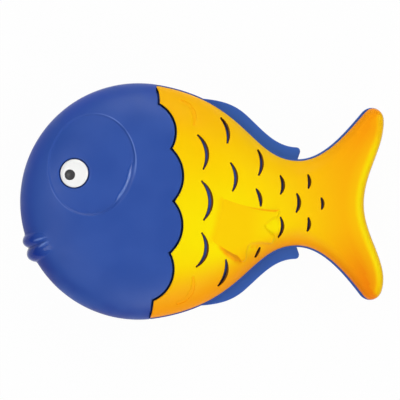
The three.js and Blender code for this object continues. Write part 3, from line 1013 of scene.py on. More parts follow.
# %% Crescents
# Each crescent has its upper and lower end, measured from the mark, its bow and its width.
SLOTS = [
    ((24.7, 27.3), (27.1, 13.6), 2.5, 1.7),
    ((26.5, 8.5), (27.5, -7.2), 3.2, 2.1),
    ((26.8, -12.7), (24.7, -26.4), 2.9, 1.9),
    ((34.1, 34.5), (36.8, 24.4), 1.4, 1.65),
    ((38.3, 16.0), (39.2, 4.8), 1.7, 1.65),
    ((36.7, -23.6), (33.7, -34.2), 1.5, 1.8),
    ((49.4, 21.5), (49.8, 11.4), 1.4, 1.6),
    ((48.9, 5.5), (50.7, -1.2), 0.6, 1.6),
    ((50.5, -18.5), (48.8, -22.2), 0.1, 1.2),
    ((58.7, 11.0), (58.9, 3.8), 1.0, 1.6),
    ((58.9, -6.0), (58.2, -13.9), 1.2, 1.4),
    ((65.6, 3.7), (65.4, -3.6), 1.0, 1.6),
    ((70.1, 11.5), (70.3, 6.3), 0.5, 1.4),
    ((70.4, -6.1), (70.1, -11.3), 0.5, 1.5),
    ((75.7, 2.1), (75.9, -2.2), 0.45, 1.4),
]
FAINT_CRESCENTS = [((17.7, 41.5), (23.0, 31.8), 2.3, 1.4), ((23.3, -30.9), (17.0, -41.7), 2.5, 1.4)]
SLOT_END = 0.8
SLOT_STEPS = 12
# A straight side has no radius, so the inner side always bows a little.
LEAST_BOW = 0.001


def crescent_loop(upper, lower, bow, width):
    """A crescent with rounded ends that bulges towards the tail."""
    top = MARK + Vector((*upper, 0))
    bottom = MARK + Vector((*lower, 0))
    way = (bottom - top).normalized() * SLOT_END / 2
    side = Vector((-way.y, way.x, 0))
    swell = (width - SLOT_END) / 2
    outer = bulge_arc(top + side, bottom + side, bow + swell, SLOT_STEPS)
    inner = bulge_arc(top - side, bottom - side, bow - swell + LEAST_BOW, SLOT_STEPS)
    slant = math.sqrt(0.5)
    lower_end = [bottom + slant * (way + side), bottom + way, bottom + slant * (way - side)]
    upper_end = [top - slant * (way + side), top - way, top - slant * (way - side)]
    return outer + lower_end + inner[::-1] + upper_end


slot_loops = [crescent_loop(*slot) for slot in SLOTS]
faint_loops = [crescent_loop(*slot) for slot in FAINT_CRESCENTS]
print("crescents:", len(slot_loops), "slots and", len(faint_loops), "pressed in")


# %% Tools for loops
def grown(loop, distances):
    """A loop moved outwards, by one distance for all points or one for each."""
    if not isinstance(distances, list):
        distances = [distances] * len(loop)
    pairs = zip(loop, loop[1:] + loop[:1])
    clockwise = sum(a.x * b.y - a.y * b.x for a, b in pairs) < 0
    moved = []
    for i, point in enumerate(loop):
        way = (loop[(i + 1) % len(loop)] - loop[i - 1]).normalized()
        out = Vector((-way.y, way.x, 0)) if clockwise else Vector((way.y, -way.x, 0))
        moved.append(point + distances[i] * out)
    return moved


def carried(place, loop_from, loop_to):
    """The place on one loop that answers to a place on another loop with as many points."""
    spot = flat(place)
    best = None
    for i in range(len(loop_from)):
        a, b = loop_from[i - 1], loop_from[i]
        share = clamped(geometry.intersect_point_line(spot, a, b)[1])
        gap = (a.lerp(b, share) - spot).length
        if best is None or gap < best[0]:
            best = (gap, loop_to[i - 1].lerp(loop_to[i], share))
    return best[1]


# %% Outline of the pectoral fin
# The fin's corners are measured from the mark.
FIN_ROOT_TOP = (35.4, 1.4)
FIN_TOP_BEND = (47.0, -3.2)
FIN_UPPER_TIP = (58.5, -3.0)
FIN_UPPER_TIP_END = (57.8, -5.3)
FIN_NOTCH = (52.2, -9.4)
FIN_MIDDLE_TIP = (56.8, -14.2)
FIN_MIDDLE_TIP_END = (55.5, -16.8)
FIN_STEP = (46.0, -17.3)
FIN_LOWER_TIP_END = (44.9, -23.5)
FIN_LOWER_TIP = (43.7, -24.6)
FIN_ROOT_BOTTOM = (31.4, -16.0)
FIN_ROOT_BEND = (34.4, -9.5)
FIN_STRETCH = 0.7
FIN_TOP_STEPS = 36
FIN_ROOT_STEPS = 26


def fin_point(corner):
    return MARK + Vector((*corner, 0))


def fin_bow(start, bend, end, steps):
    """A bent stretch that is pulled towards one point."""
    a, b, c = fin_point(start), fin_point(bend), fin_point(end)
    return bent(a, a.lerp(b, 2 / 3), c.lerp(b, 2 / 3), c, steps)


def softened(loop):
    """A loop with each point drawn towards its neighbours."""
    after = loop[1:] + loop[:1]
    before = loop[-1:] + loop[:-1]
    return [(a + 2 * p + b) / 4 for a, p, b in zip(before, loop, after)]


def fin_loop():
    corners = [
        FIN_UPPER_TIP, FIN_UPPER_TIP_END, FIN_NOTCH, FIN_MIDDLE_TIP, FIN_MIDDLE_TIP_END, FIN_STEP,
        FIN_LOWER_TIP_END, FIN_LOWER_TIP, FIN_ROOT_BOTTOM,
    ]
    loop = fin_bow(FIN_ROOT_TOP, FIN_TOP_BEND, FIN_UPPER_TIP, FIN_TOP_STEPS)[:-1]
    for a, b in zip(corners, corners[1:]):
        start, end = fin_point(a), fin_point(b)
        steps = max(round((end - start).length / FIN_STRETCH), 1)
        loop += [start.lerp(end, i / steps) for i in range(steps)]
    loop += fin_bow(FIN_ROOT_BOTTOM, FIN_ROOT_BEND, FIN_ROOT_TOP, FIN_ROOT_STEPS)[:-1]
    return softened(softened(loop))


print("pectoral fin:", len(fin_loop()), "points")

# %% Wall of the pectoral fin
# The fin's top is a plane that falls a little towards the tail, so the fin stands higher off the cover at
# its tips. Its walls lean, and lean less where there is little room, near an inner corner or a tip.
FIN_ROOT_SINK = 0.6
FIN_FALL = 0.11
FIN_RISE = 3.0
FIN_WALL_FOOT = 0.25
FIN_TOP_INSET = 0.3
FIN_WALL_LEAN = 0.45
FIN_ROWS = 5
# Each room has its width at a corner, and how much wider it gets with each millimetre away.
INNER_CORNER_ROOM = (0.1, 0.35)
TIP_ROOM = (0.15, 0.3)


def cover_height(place):
    return form_height(place, ledge_at(place))


def fin_top(place):
    fall = FIN_FALL * (place.x - MARK.x - FIN_ROOT_TOP[0])
    return min(CROWN_HALF - FIN_ROOT_SINK - fall, cover_height(place) + FIN_RISE)


def room_near(point, corners, room):
    """How far a wall can lean at a point without crossing the wall beyond the nearest corner."""
    width, growth = room
    return width + growth * min((point - fin_point(corner)).length for corner in corners)


def fin_loops():
    """Loops up the fin's wall, from its foot on the cover to the edge of its top."""
    edge = fin_loop()
    inner_corners = [FIN_NOTCH, FIN_STEP]
    tips = [FIN_UPPER_TIP, FIN_UPPER_TIP_END, FIN_MIDDLE_TIP, FIN_MIDDLE_TIP_END]
    tips += [FIN_LOWER_TIP_END, FIN_LOWER_TIP]
    feet, insets = [], []
    for point in edge:
        lean = FIN_TOP_INSET + FIN_WALL_LEAN * abs(fin_top(point) - cover_height(point))
        feet.append(min(FIN_WALL_FOOT, room_near(point, inner_corners, INNER_CORNER_ROOM)))
        insets.append(min(lean, room_near(point, tips, TIP_ROOM)))
    loops = []
    for i in range(FIN_ROWS + 1):
        share = i / FIN_ROWS
        loops.append(grown(edge, [foot - (foot + inset) * share for foot, inset in zip(feet, insets)]))
    return loops


# %% Painted shade and highlights about the pectoral fin
# Shade is painted as a deeper orange at the fin's root, on the cover beside it and on walls that face
# certain ways. Highlights are painted behind the fin's notch and where a wall faces the tail.
FIN_ROOT_SHADE = 0.22
FIN_ROOT_WAY = Vector((-0.95, 0.3, 0))
FIN_ROOT_FADE = 4.0
FIN_SHADE_END = 62.0
FIN_LEADING_SHADE = 0.66
FIN_LEADING_WAY = Vector((-0.57, -0.82, 0))
FIN_LEADING_GROWTH = 6.0
FIN_LEADING_FADE = 2.4
FIN_UPPER_SHADE = 0.38
FIN_UPPER_WAY = Vector((0.1, 0.995, 0))
FIN_TIP_GLEAM = 0.7
FIN_TIP_WAY = Vector((1, 0, 0))
# A shade falls off with this power of the turn away from its way.
NARROW_SHADE = 4
WIDE_SHADE = 2
NOTCH_GLEAM = (55.6, -9.3)
NOTCH_GLEAM_CORE = 1.38
NOTCH_GLEAM_HALF = 4.6


def facing(out, way, power):
    """1 where a wall faces a way, and less where it turns from it."""
    return max(out.dot(way), 0.0) ** power


def fin_painted_shade(place):
    """How much painted shade the fin's top gets: most at its root."""
    return FIN_ROOT_SHADE * (1 - smooth_share(place.x - MARK.x, FIN_LOWER_TIP[0], FIN_SHADE_END))


def leading_painted_shade(out, place):
    """How much painted shade falls along the fin's leading edge, where it faces out: least at the root."""
    growth = smooth_share(place.x - MARK.x - FIN_ROOT_BOTTOM[0], 0, FIN_LEADING_GROWTH)
    return FIN_LEADING_SHADE * growth * facing(out, FIN_LEADING_WAY, NARROW_SHADE)


def painted_shade_beside_fin(out, place, distance):
    """How much painted shade the cover gets at a distance from the fin's foot, on the side that out points
    to.
    """
    root = FIN_ROOT_SHADE * facing(out, FIN_ROOT_WAY, WIDE_SHADE)
    root_fade = 1 - smooth_share(distance, 0, FIN_ROOT_FADE)
    leading_fade = 1 - smooth_share(distance, 0, FIN_LEADING_FADE)
    return max(root * root_fade, leading_painted_shade(out, place) * leading_fade)


def fin_wall_painted_shade(out, place):
    """How much painted shade the fin's wall gets where it faces out: most along its leading edge and upper
    edge.
    """
    growth = smooth_share(place.x - MARK.x, FIN_ROOT_TOP[0], FIN_NOTCH[0])
    upper = FIN_UPPER_SHADE * growth * facing(out, FIN_UPPER_WAY, NARROW_SHADE)
    return max(fin_painted_shade(place), leading_painted_shade(out, place), upper)


def notch_gleam(place):
    """How strong the painted highlight is on the cover behind the fin's notch."""
    distance = (flat(place) - fin_point(NOTCH_GLEAM)).length
    return 1 - smooth_share(distance, NOTCH_GLEAM_CORE, NOTCH_GLEAM_HALF)


# %% The outside of the cover
COVER_ROLL = 1.7
SLOT_ROUNDING = 0.22
FAINT_ROUNDING = 0.5


def ring_behind(end, distance):
    """The ring from just behind one end of the seam to just before the fork of the tail."""
    ring = ring_from_nose(end, distance)
    return [p for p in ring if p.x > end.x + SEAM_MARGIN and abs(p.y) > SEAM_MARGIN]


def cover_sheet(fin_foot):
    """The cover's outside as an open sheet, with holes for crescents and fin, and its border at the seam."""
    bm = new_sheet()
    border = seam_stretch(moved_back(cover_edge, SEAM_ROUNDING), COVER_ROLL)
    back = ring_behind(border[0], COVER_ROLL)
    fork = [Vector((FORK.x - COVER_ROLL, 0, 0))]
    belly = ring_behind(border[-1], COVER_ROLL)[::-1]
    edges = add_loop(bm, border[::-1] + back + fork + belly)
    for loop in slot_loops:
        edges += add_loop(bm, grown(loop, SLOT_ROUNDING))
    for loop in faint_loops:
        edges += add_loop(bm, grown(loop, FAINT_ROUNDING))
    edges += add_loop(bm, fin_foot)
    foot_tree = tree_of(fin_foot)
    for v in lay_net(bm, edges):
        foot, _, distance = foot_tree.find(flat(v.co))
        out = (flat(v.co) - foot).normalized()
        # Painted shade beside the fin's root and leading edge, and a painted highlight behind the notch.
        note(bm, "depth", [v], painted_shade_beside_fin(out, v.co, distance))
        note(bm, "polish_and_painted_gleam", [v], notch_gleam(v.co))
        v.co.z = cover_height(v.co)
    return bm, border


# %% Cut and press the crescents
SLOT_WALL = 0.7
SLOT_DRAFT = 0.2
SLOT_LEAN = 0.3
SLOT_SHADE = 0.95
FAINT_DEPTH = 0.4
FAINT_SHADE = 0.2
# A crescent's loop runs down its outer side, round its lower end, up its inner side and round its upper
# end, which has this many points.
SLOT_END_POINTS = 3


def border_at(bm, loop):
    """The open border whose middle is nearest to a loop's middle."""
    return hole_at(bm, sum(loop, Vector()) / len(loop))


def round_slot(bm, loop, rounding, depth):
    """Rounds the edge of a slot's hole over, and down to a depth."""
    edges = border_at(bm, loop)
    outer = grown(loop, rounding)
    for turn in ROUND_TURNS:
        inner = grown(loop, rounding * (1 - math.sin(turn)))
        drop = depth * (1 - math.cos(turn))

        def round_over(v):
            place = carried(v.co, outer, inner)
            place.z = cover_height(place) - drop
            return place

        edges = draw_row(bm, edges, round_over)
        outer = inner
    return edges


def draw_wall(bm, edges, loop):
    """Draws a slot's wall down from its rounded edge, leaning inwards, most at the bulge to the tail."""
    outer_middle = loop[SLOT_STEPS // 2]
    inner_middle = loop[-1 - SLOT_END_POINTS - SLOT_STEPS // 2]
    width = (outer_middle - inner_middle).length
    drafts = [-SLOT_DRAFT] * len(loop)
    for i in range(SLOT_STEPS + 1):
        drafts[i] -= SLOT_LEAN * width * math.sin(math.pi * i / SLOT_STEPS)
    inner = grown(loop, drafts)
    # The rounded edge and the wall get painted shade, dark brown, where the slot lies in shadow.
    note(bm, "depth", loop_verts(edges), SLOT_SHADE)

    def go_down(v):
        place = carried(v.co, loop, inner)
        place.z = cover_height(place) - SLOT_WALL
        return place

    note(bm, "depth", loop_verts(draw_row(bm, edges, go_down)), 1.0)


def shape_crescents(bm):
    """Draws the walls of the slots, and the floors of the crescents that are only pressed in."""
    for loop in slot_loops:
        draw_wall(bm, round_slot(bm, loop, SLOT_ROUNDING, SLOT_ROUNDING), loop)
    for loop in faint_loops:
        edges = round_slot(bm, loop, FAINT_ROUNDING, FAINT_DEPTH)
        # The pressed crescents get a little painted shade along their rounded edges.
        note(bm, "depth", loop_verts(edges), FAINT_SHADE)
        for v in lay_net(bm, edges):
            v.co.z = cover_height(v.co) - FAINT_DEPTH


# %% Raise the pectoral fin
def raise_fin(bm, loops):
    """Draws the fin's wall up from its foot, and fills its top."""
    rim = border_at(bm, loops[0])
    # The foot of the wall takes the painted shade of the cover beside it.
    for v in loop_verts(rim):
        out = (flat(v.co) - carried(v.co, loops[0], loops[1])).normalized()
        note(bm, "depth", [v], painted_shade_beside_fin(out, v.co, 0.0))
    for i in range(1, FIN_ROWS + 1):
        rise = smooth_share(i, 0, FIN_ROWS)

        def climb(v):
            place = carried(v.co, loops[i - 1], loops[i])
            low = cover_height(place)
            place.z = low + rise * (fin_top(place) - low)
            return place

        rim = draw_row(bm, rim, climb)
        # Each row of the wall gets painted shade by the way it faces, and a painted highlight where it faces
        # the tail.
        for v in loop_verts(rim):
            out = (carried(v.co, loops[i], loops[0]) - flat(v.co)).normalized()
            note(bm, "depth", [v], fin_wall_painted_shade(out, v.co) if i < FIN_ROWS else fin_painted_shade(v.co))
            note(bm, "polish_and_painted_gleam", [v], FIN_TIP_GLEAM * facing(out, FIN_TIP_WAY, WIDE_SHADE))
    # The top gets painted shade at its root, and no highlight.
    for v in lay_net(bm, rim):
        v.co.z = fin_top(v.co)
        note(bm, "depth", [v], fin_painted_shade(v.co))
        note(bm, "polish_and_painted_gleam", [v], 0.0)


# %% Model the cover
COVER_WALL = 1.0
COVER_SIDE = 0.7
COVER_CLEARANCE = 0.3
COVER_FOOT = RIM_HALF + COVER_CLEARANCE
COVER_INNER_ROWS = (0.05, 0.2, 0.4)


def on_cover(place, distance):
    return max(form_height(place, ledge_at(place), 0, distance), COVER_FOOT)


def under_cover(place, distance=None):
    side = ledge_at(place) + COVER_SIDE
    return max(form_height(place, side, COVER_WALL, distance), COVER_FOOT)


def past_ledge(extra):
    return lambda place: ledge_at(place) + extra


def rolled_cover(share):
    return lambda place: ledge_at(place) + (COVER_ROLL - ledge_at(place)) * share


cover_profile = [(rolled_cover(share), on_cover) for share in ROLL_SHARES]
cover_profile += [(past_ledge(COVER_SIDE), level(COVER_FOOT))]
cover_profile += [(past_ledge(COVER_SIDE + row), under_cover) for row in COVER_INNER_ROWS]
print("edge of the cover:", len(cover_profile), "rows")


def make_cover(material):
    fin = fin_loops()
    bm, seam_border = cover_sheet(fin[0])
    shape_crescents(bm)
    raise_fin(bm, fin)
    outer, inner = add_inside(bm, under_cover)
    last = roll_edge(bm, outer, seam_border, cover_edge, COVER_ROLL, cover_profile, under_cover)
    bridge(bm, last, inner)
    return finish_mesh(bm, "left_cover", material)


# %% [markdown]
# ## The blue deck
#
# Under the cover the blue shell goes on as a sunk deck. It shows as a thin ledge along the back, the
# belly and the tail, and as blue in the bottom of the slots. The deck could be a scaled copy of the
# cover, but scaling would not keep one even gap. So it is one more sheet on the form, inset and lowered,
# with a rim that the cover stands on. Ahead of the seam it hides inside the wall of the head, and a wide
# hole leaves the head hollow.

# %% The surface of the deck
DECK_INSET = 2.6
DECK_DROP = 1.2
DECK_WALL = 1.6
DECK_SINK = 1.2
DECK_SINK_FROM = 38.0
DECK_SINK_TO = 60.0
DECK_SINK_START = 4.5
DECK_SINK_END = 8.0
SEAM_GROOVE = 3.6
SEAM_GROOVE_HALF = 1.5
SEAM_GROOVE_END = 4.0
RIM_WALL = 3.3


def deck_sink(place):
    """How far the deck sinks below an even gap: away from its rim, towards the tail and along the seam."""
    inwards = smooth_share(nearest_edge(place)[1], DECK_SINK_START, DECK_SINK_END)
    to_seam = seam_tree.find(flat(place))[2]
    groove = 1 - smooth_share(to_seam, SEAM_GROOVE_HALF, SEAM_GROOVE_END)
    sink = DECK_SINK * smooth_share(place.x - MARK.x, DECK_SINK_FROM, DECK_SINK_TO)
    return inwards * max(sink, SEAM_GROOVE * groove)


def over_deck(place):
    return form_height(place, DECK_INSET, DECK_DROP) - deck_sink(place)


def under_deck(place):
    return form_height(place, RIM_WALL, DECK_DROP + DECK_WALL) - deck_sink(place)


tail_gap = under_cover(TAIL_ROOT) - over_deck(TAIL_ROOT)
print("gap between cover and deck at the tail's root:", round(tail_gap, 2), "mm")

# %% Profile of the deck's edge
DECK_ROWS = (3.2, 2.8, DECK_INSET)
DECK_INNER_ROW = 3.6
RIM_TURN = 0.35
# The middle row of a small rounding lies at this share of it.
SOFT_SHARE = 0.3
# Pieces of one shell start a hair above each other, so that they don't share a plane.
HAIR = 0.03
DECK_FOOT = PARTING_HALF + HAIR

on_deck = on_form(DECK_INSET, DECK_DROP, RIM_HALF)
deck_profile = [(row, on_deck) for row in DECK_ROWS]
deck_profile += [
    (RIM_TURN, level(RIM_HALF)),
    (RIM_TURN * SOFT_SHARE, level(RIM_HALF - RIM_TURN * SOFT_SHARE)),
    (0.0, level(RIM_HALF - RIM_TURN)),
    (0.0, level(DECK_FOOT + PARTING_CHAMFER)),
    (PARTING_CHAMFER, level(DECK_FOOT)),
    (RIM_WALL, level(DECK_FOOT)),
    (RIM_WALL, level(RIM_HALF)),
    (DECK_INNER_ROW, on_form(RIM_WALL, DECK_DROP + DECK_WALL)),
]
print("edge of the deck:", len(deck_profile), "rows")

# %% Model the deck
DECK_START = 4.0
DECK_NET = 2.0
DECK_HOLE = Vector((NOSE_X + 30.5, 0, 0))
DECK_HOLE_HALF_LENGTH = 23.0
DECK_HOLE_HALF_HEIGHT = 33.0
DECK_HOLE_POINTS = 96
TUCK = 0.5
TUCK_SPAN = (-1.5, -0.3)


def tucked(place):
    """How far the deck's edge draws back into the wall of the head, ahead of the seam."""
    seam_x = seam_tree.find(flat(place))[0].x
    return TUCK * (1 - smooth_share(place.x - seam_x, *TUCK_SPAN))


def make_deck(material):
    bm = new_sheet()
    hole = []
    for spoke in round_arc(Vector(), 1, 0, math.tau, DECK_HOLE_POINTS)[:-1]:
        oval = Vector((DECK_HOLE_HALF_LENGTH * spoke.x, DECK_HOLE_HALF_HEIGHT * spoke.y, 0))
        hole.append(DECK_HOLE + oval)
    edges = add_loop(bm, ring_inside(DECK_START)) + add_loop(bm, hole)
    for v in lay_net(bm, edges, DECK_NET):
        v.co.z = over_deck(v.co)
    border, inner = add_inside(bm, under_deck)
    home = bm.verts.layers.float_vector["home"]
    for v in loop_verts(border):
        v[home] = v.co
    for distance, height_at in deck_profile:

        def place_row(v):
            place = towards_edge(v[home], DECK_START, min(distance + tucked(v[home]), DECK_START))
            place.z = height_at(place, distance)
            return place

        border = draw_row(bm, border, place_row)
    bridge(bm, border, inner)
    return finish_mesh(bm, "left_deck", material)


# %% [markdown]
# ## Dorsal and belly fins
#
# Each of these fins is a flat blade that grows out of the rim of the shell and follows the flank down to
# the waist. It is drawn as one flat face along the flank, pulled up to its thickness with an extrude, and
# its upper edge is bevelled, because moulded edges are never sharp.

# %% Outline of a blade
# The blade starts, is full and ends at these shares of the flank.
BLADE_START = 0.2
BLADE_FULL = 0.52
BLADE_END = 0.98
BLADE_HEIGHT = 5.8
BLADE_END_HEIGHT = 4.9
BLADE_CORNER = 2.0
BLADE_CORNER_PULL = 0.7
BLADE_CORNER_STEPS = 8
BLADE_ROOT = 3.0
FLANK_POINTS = 250
BLADE_STRIDE = 3


def blade_points():
    """The blade's outline: its outer edge towards the tail, the rounded corner, and back along the root."""
    flank = flank_points(FLANK_POINTS)
    outer, root = [], []
    first, last = round(BLADE_START * FLANK_POINTS), round(BLADE_END * FLANK_POINTS)
    for i in range(first, last + 1, BLADE_STRIDE):
        share = i / FLANK_POINTS
        growth = min((share - BLADE_START) / (BLADE_FULL - BLADE_START), 1.0)
        fall = smooth_share(share, BLADE_FULL, BLADE_END)
        height = BLADE_HEIGHT + (BLADE_END_HEIGHT - BLADE_HEIGHT) * fall
        outer.append(flank[i] + Vector((0, height * math.sin(growth * math.pi / 2), 0)))
        root.append(flank[i] - Vector((0, BLADE_ROOT, 0)))
    tip = outer[-1]
    side = Vector((BLADE_CORNER, 0, 0))
    down = Vector((0, -BLADE_CORNER, 0))
    leave = tip + side * BLADE_CORNER_PULL
    arrive = tip + side + down * (1 - BLADE_CORNER_PULL)
    corner = bent(tip, leave, arrive, tip + side + down, BLADE_CORNER_STEPS)
    return outer + corner[1:] + root[:0:-1]


print("blade:", len(blade_points()), "points")

# %% Model the blades
BLADE_HALF = 1.8
BLADE_FOOT = DECK_FOOT + HAIR
BLADE_BEVEL = 0.45
BLADE_BEVEL_ROWS = 3


def make_blade(name, mirror, material):
    bm = new_sheet()
    points = [Vector((p.x, mirror * p.y, BLADE_FOOT)) for p in blade_points()]
    base = bm.faces.new([bm.verts.new(p) for p in points])
    made = bmesh.ops.extrude_face_region(bm, geom=[base])["geom"]
    top = verts_of(made)
    bmesh.ops.translate(bm, vec=(0, 0, BLADE_HALF - BLADE_FOOT), verts=top)
    rim = [e for e in bm.edges if all(v in top for v in e.verts)]
    bmesh.ops.bevel(
        bm, geom=rim, offset=BLADE_BEVEL, affect="EDGES", segments=BLADE_BEVEL_ROWS, profile=0.5,
        material=-1, offset_type="OFFSET",
    )
    return finish_mesh(bm, name, material)


# %% [markdown]
# ## The eye
#
# The white is a low dome with a stem that snaps through the head. A lathe would give the dome, but the
# recess for the pupil is off its middle, so the dome's face is a small sheet with a hole. Rows go down
# into the recess, and round the edge, under the dome and along the stem.

# %% Faces and rings of the eye
EYE_DOME = 1.0
PUPIL = Vector((-1.65, -0.68, 0))
PUPIL_RADIUS = 2.05
PUPIL_DEPTH = 1.2
PUPIL_CLEARANCE = 0.15


def eye_face(place):
    share = min(Vector((place.x, place.y)).length / EYE_RADIUS, 1.0)
    return EYE_CLEARANCE + EYE_EDGE + EYE_DOME * math.sqrt(1 - share**2)


def ring_row(bm, edges, centre, radius, height):
    """Draws a row to a round ring about a centre, at one height or at a height for each place."""

    def place_row(v):
        place = flat(centre) + radius * flat(v.co - centre).normalized()
        place.z = height(place) if callable(height) else height
        return place

    return draw_row(bm, edges, place_row)


print("eye:", round(eye_face(Vector()), 2), "mm high above its seat")

# %% Model the eye white
EYE_NET = 0.5
EYE_POINTS = 90
EYE_FACE_SHARE = 0.9
EYE_EDGE_TURNS = (22, 18, 14, 10, 6, 3, 0)
EYE_DRAFT = 0.35
EYE_FOOT_EDGE = 0.2
EYE_SNAP = 0.5
EYE_SNAP_TOP = -2.1
EYE_SNAP_LENGTH = 1.4
RECESS_POINTS = 64
RECESS_ROUNDING = 0.12

eye_foot = EYE_RADIUS - EYE_DRAFT
# The path runs under the dome and down the stem, as pairs of radius and height.
eye_path = [
    (eye_foot, EYE_CLEARANCE + EYE_FOOT_EDGE),
    (eye_foot - EYE_FOOT_EDGE, EYE_CLEARANCE),
    (EYE_STEM, EYE_CLEARANCE),
    (EYE_STEM, EYE_SNAP_TOP),
    (EYE_STEM + EYE_SNAP, EYE_SNAP_TOP),
    (EYE_STEM - EYE_SNAP, EYE_SNAP_TOP - EYE_SNAP_LENGTH),
]


def sink_recess(bm, rim):
    """Rounds the edge of the recess for the pupil, draws its wall and fills its floor."""
    recess = PUPIL_RADIUS + PUPIL_CLEARANCE
    soft = RECESS_ROUNDING * SOFT_SHARE
    rim = ring_row(bm, rim, PUPIL, recess + soft, lambda place: eye_face(place) - soft)
    rim = ring_row(bm, rim, PUPIL, recess, lambda place: eye_face(place) - RECESS_ROUNDING)
    floor_height = eye_face(PUPIL) - PUPIL_DEPTH
    rim = ring_row(bm, rim, PUPIL, recess, floor_height)
    for v in lay_net(bm, rim, EYE_NET):
        v.co.z = floor_height


def make_eye_white(material):
    bm = new_sheet()
    recess_edge = PUPIL_RADIUS + PUPIL_CLEARANCE + RECESS_ROUNDING
    outer = add_loop(bm, round_arc(Vector(), EYE_RADIUS * EYE_FACE_SHARE, 0, math.tau, EYE_POINTS)[:-1])
    inner = add_loop(bm, round_arc(PUPIL, recess_edge, 0, math.tau, RECESS_POINTS)[:-1])
    for v in lay_net(bm, outer + inner, EYE_NET):
        v.co.z = eye_face(v.co)
    sink_recess(bm, inner)
    rim = outer
    for turn in map(math.radians, EYE_EDGE_TURNS):
        height = EYE_CLEARANCE + EYE_EDGE + EYE_DOME * math.sin(turn)
        rim = ring_row(bm, rim, Vector(), EYE_RADIUS * math.cos(turn), height)
    for radius, height in eye_path:
        rim = ring_row(bm, rim, Vector(), radius, height)
    bmesh.ops.contextual_create(bm, geom=rim)
    bmesh.ops.transform(bm, matrix=eye_frame, verts=bm.verts[:])
    return finish_mesh(bm, "left_eye_dome", material)


# %% [markdown]
# ## The pupil and the balls
#
# The pupil is a turned plug with a softened edge, pressed into the recess. The balls are moulded in two
# halves, so each one keeps a fine ridge where the halves met. Both are round about one axis, so a profile
# is spun.

# %% Model the pupil
SPIN_MERGE = 0.0005
PUPIL_TURNS = 64
PUPIL_PROUD = 0.15
PUPIL_FOOT_EDGE = 0.15
PUPIL_EDGE = 0.35
PUPIL_EDGE_TURNS = (0, 15, 30, 45, 60, 75, 90)
PUPIL_SWELL = 0.25
PUPIL_FACE_SHARES = (0.8, 0.6, 0.4, 0.2, 0.0)


def spun(profile, turns):
    """Spins a profile of radius and height pairs once round the upright axis."""
    bm = new_sheet()
    verts = [bm.verts.new((radius, 0, height)) for radius, height in profile]
    chain = verts + [bm.edges.new(pair) for pair in zip(verts, verts[1:])]
    bmesh.ops.spin(
        bm, geom=chain, axis=(0, 0, 1), cent=(0, 0, 0), angle=math.tau, steps=turns, use_merge=True
    )
    bmesh.ops.remove_doubles(bm, verts=bm.verts[:], dist=SPIN_MERGE)
    return bm


def make_pupil(material):
    face = eye_face(PUPIL)
    bottom = face - PUPIL_DEPTH + PUPIL_CLEARANCE
    side = face + PUPIL_PROUD - PUPIL_EDGE
    profile = [(0, bottom), (PUPIL_RADIUS - PUPIL_FOOT_EDGE, bottom)]
    profile.append((PUPIL_RADIUS, bottom + PUPIL_FOOT_EDGE))
    for turn in map(math.radians, PUPIL_EDGE_TURNS):
        across = PUPIL_RADIUS - PUPIL_EDGE * (1 - math.cos(turn))
        profile.append((across, side + PUPIL_EDGE * math.sin(turn)))
    edge_radius, edge_height = profile[-1]
    for share in PUPIL_FACE_SHARES:
        profile.append((edge_radius * share, edge_height + PUPIL_SWELL * (1 - share**2)))
    bm = spun(profile, PUPIL_TURNS)
    bmesh.ops.transform(bm, matrix=eye_frame @ Matrix.Translation(PUPIL), verts=bm.verts[:])
    return finish_mesh(bm, "left_pupil_plug", material)


# %% Model the balls
BALL_RADIUS = 4.0
BALL_RIDGE = 0.05
BALL_RIDGE_HALF = 2.0
BALL_STEPS = 44
BALL_TURNS = 48
# Each ball has tumbled a different way.
BALL_TUMBLE = 47
BALL_TUMBLE_LEAN = 0.4
BALL_TUMBLE_TWIST = 0.3


def make_ball(number, material):
    profile = []
    for i in range(BALL_STEPS + 1):
        turn = 180 * i / BALL_STEPS - 90
        ridge = BALL_RIDGE if abs(turn) < BALL_RIDGE_HALF else 0.0
        radius = BALL_RADIUS + ridge
        profile.append((radius * math.cos(math.radians(turn)), radius * math.sin(math.radians(turn))))
    profile[0], profile[-1] = (0.0, -BALL_RADIUS), (0.0, BALL_RADIUS)
    bm = spun(profile, BALL_TURNS)
    low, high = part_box(f"rattle_ball_{number}")
    middle = (Vector(low) + Vector(high)) / (2 * MILLIMETRE) - Vector((0, 0, CROWN_HALF))
    axis = Vector((1, BALL_TUMBLE_LEAN * number, BALL_TUMBLE_TWIST))
    tumble = Matrix.Rotation(math.radians(BALL_TUMBLE * number), 4, axis)
    bmesh.ops.transform(bm, matrix=Matrix.Translation(middle) @ tumble, verts=bm.verts[:])
    return finish_mesh(bm, f"ball_{number}_moulded", material)


# %% [markdown]
# ## Plastics
#
# All pieces are injection moulded, so the colour goes right through and the finish comes from the mould:
# a satin skin with a very fine grain and slight flow clouds in the colour. One flat colour would look
# like a computer picture. So each plastic mixes two near shades with soft noise, lets the roughness
# wander a little, and bumps the skin with grain of a few tenths of a millimetre. The noise reads Object
# coordinates, which stay with the piece. Light and shade are painted into the colours too. The yellow
# gets painted shade, a deeper orange, at its rims, towards the back, the belly and the tail, about the
# fin and in the slots, and painted highlights along its trailing edge, behind the fin's notch and at the
# fin's tips. The blue gets painted shade at its rims, painted light that makes it paler on the deck and
# the fins towards the tail, and painted highlights along the dish's edge and the folds of the mouth. A
# mask could be painted, but the rows of an edge are known when they are drawn. So each vertex carries its
# distance from the outline, its share of the trailing edge, its depth, which holds painted shade and
# painted highlights, and its polish and painted gleam as numbers, and the materials read those.

# %% Tools for nodes
# A Mix node set to colours uses these of its sockets.
MIX_SHARE, MIX_FIRST, MIX_SECOND, MIX_RESULT = 0, 6, 7, 2


def shader_of(material):
    return next(n for n in material.node_tree.nodes if n.type == "BSDF_PRINCIPLED")


def add_node(material, kind, **settings):
    node = material.node_tree.nodes.new(kind)
    for name, value in settings.items():
        setattr(node, name, value)
    return node


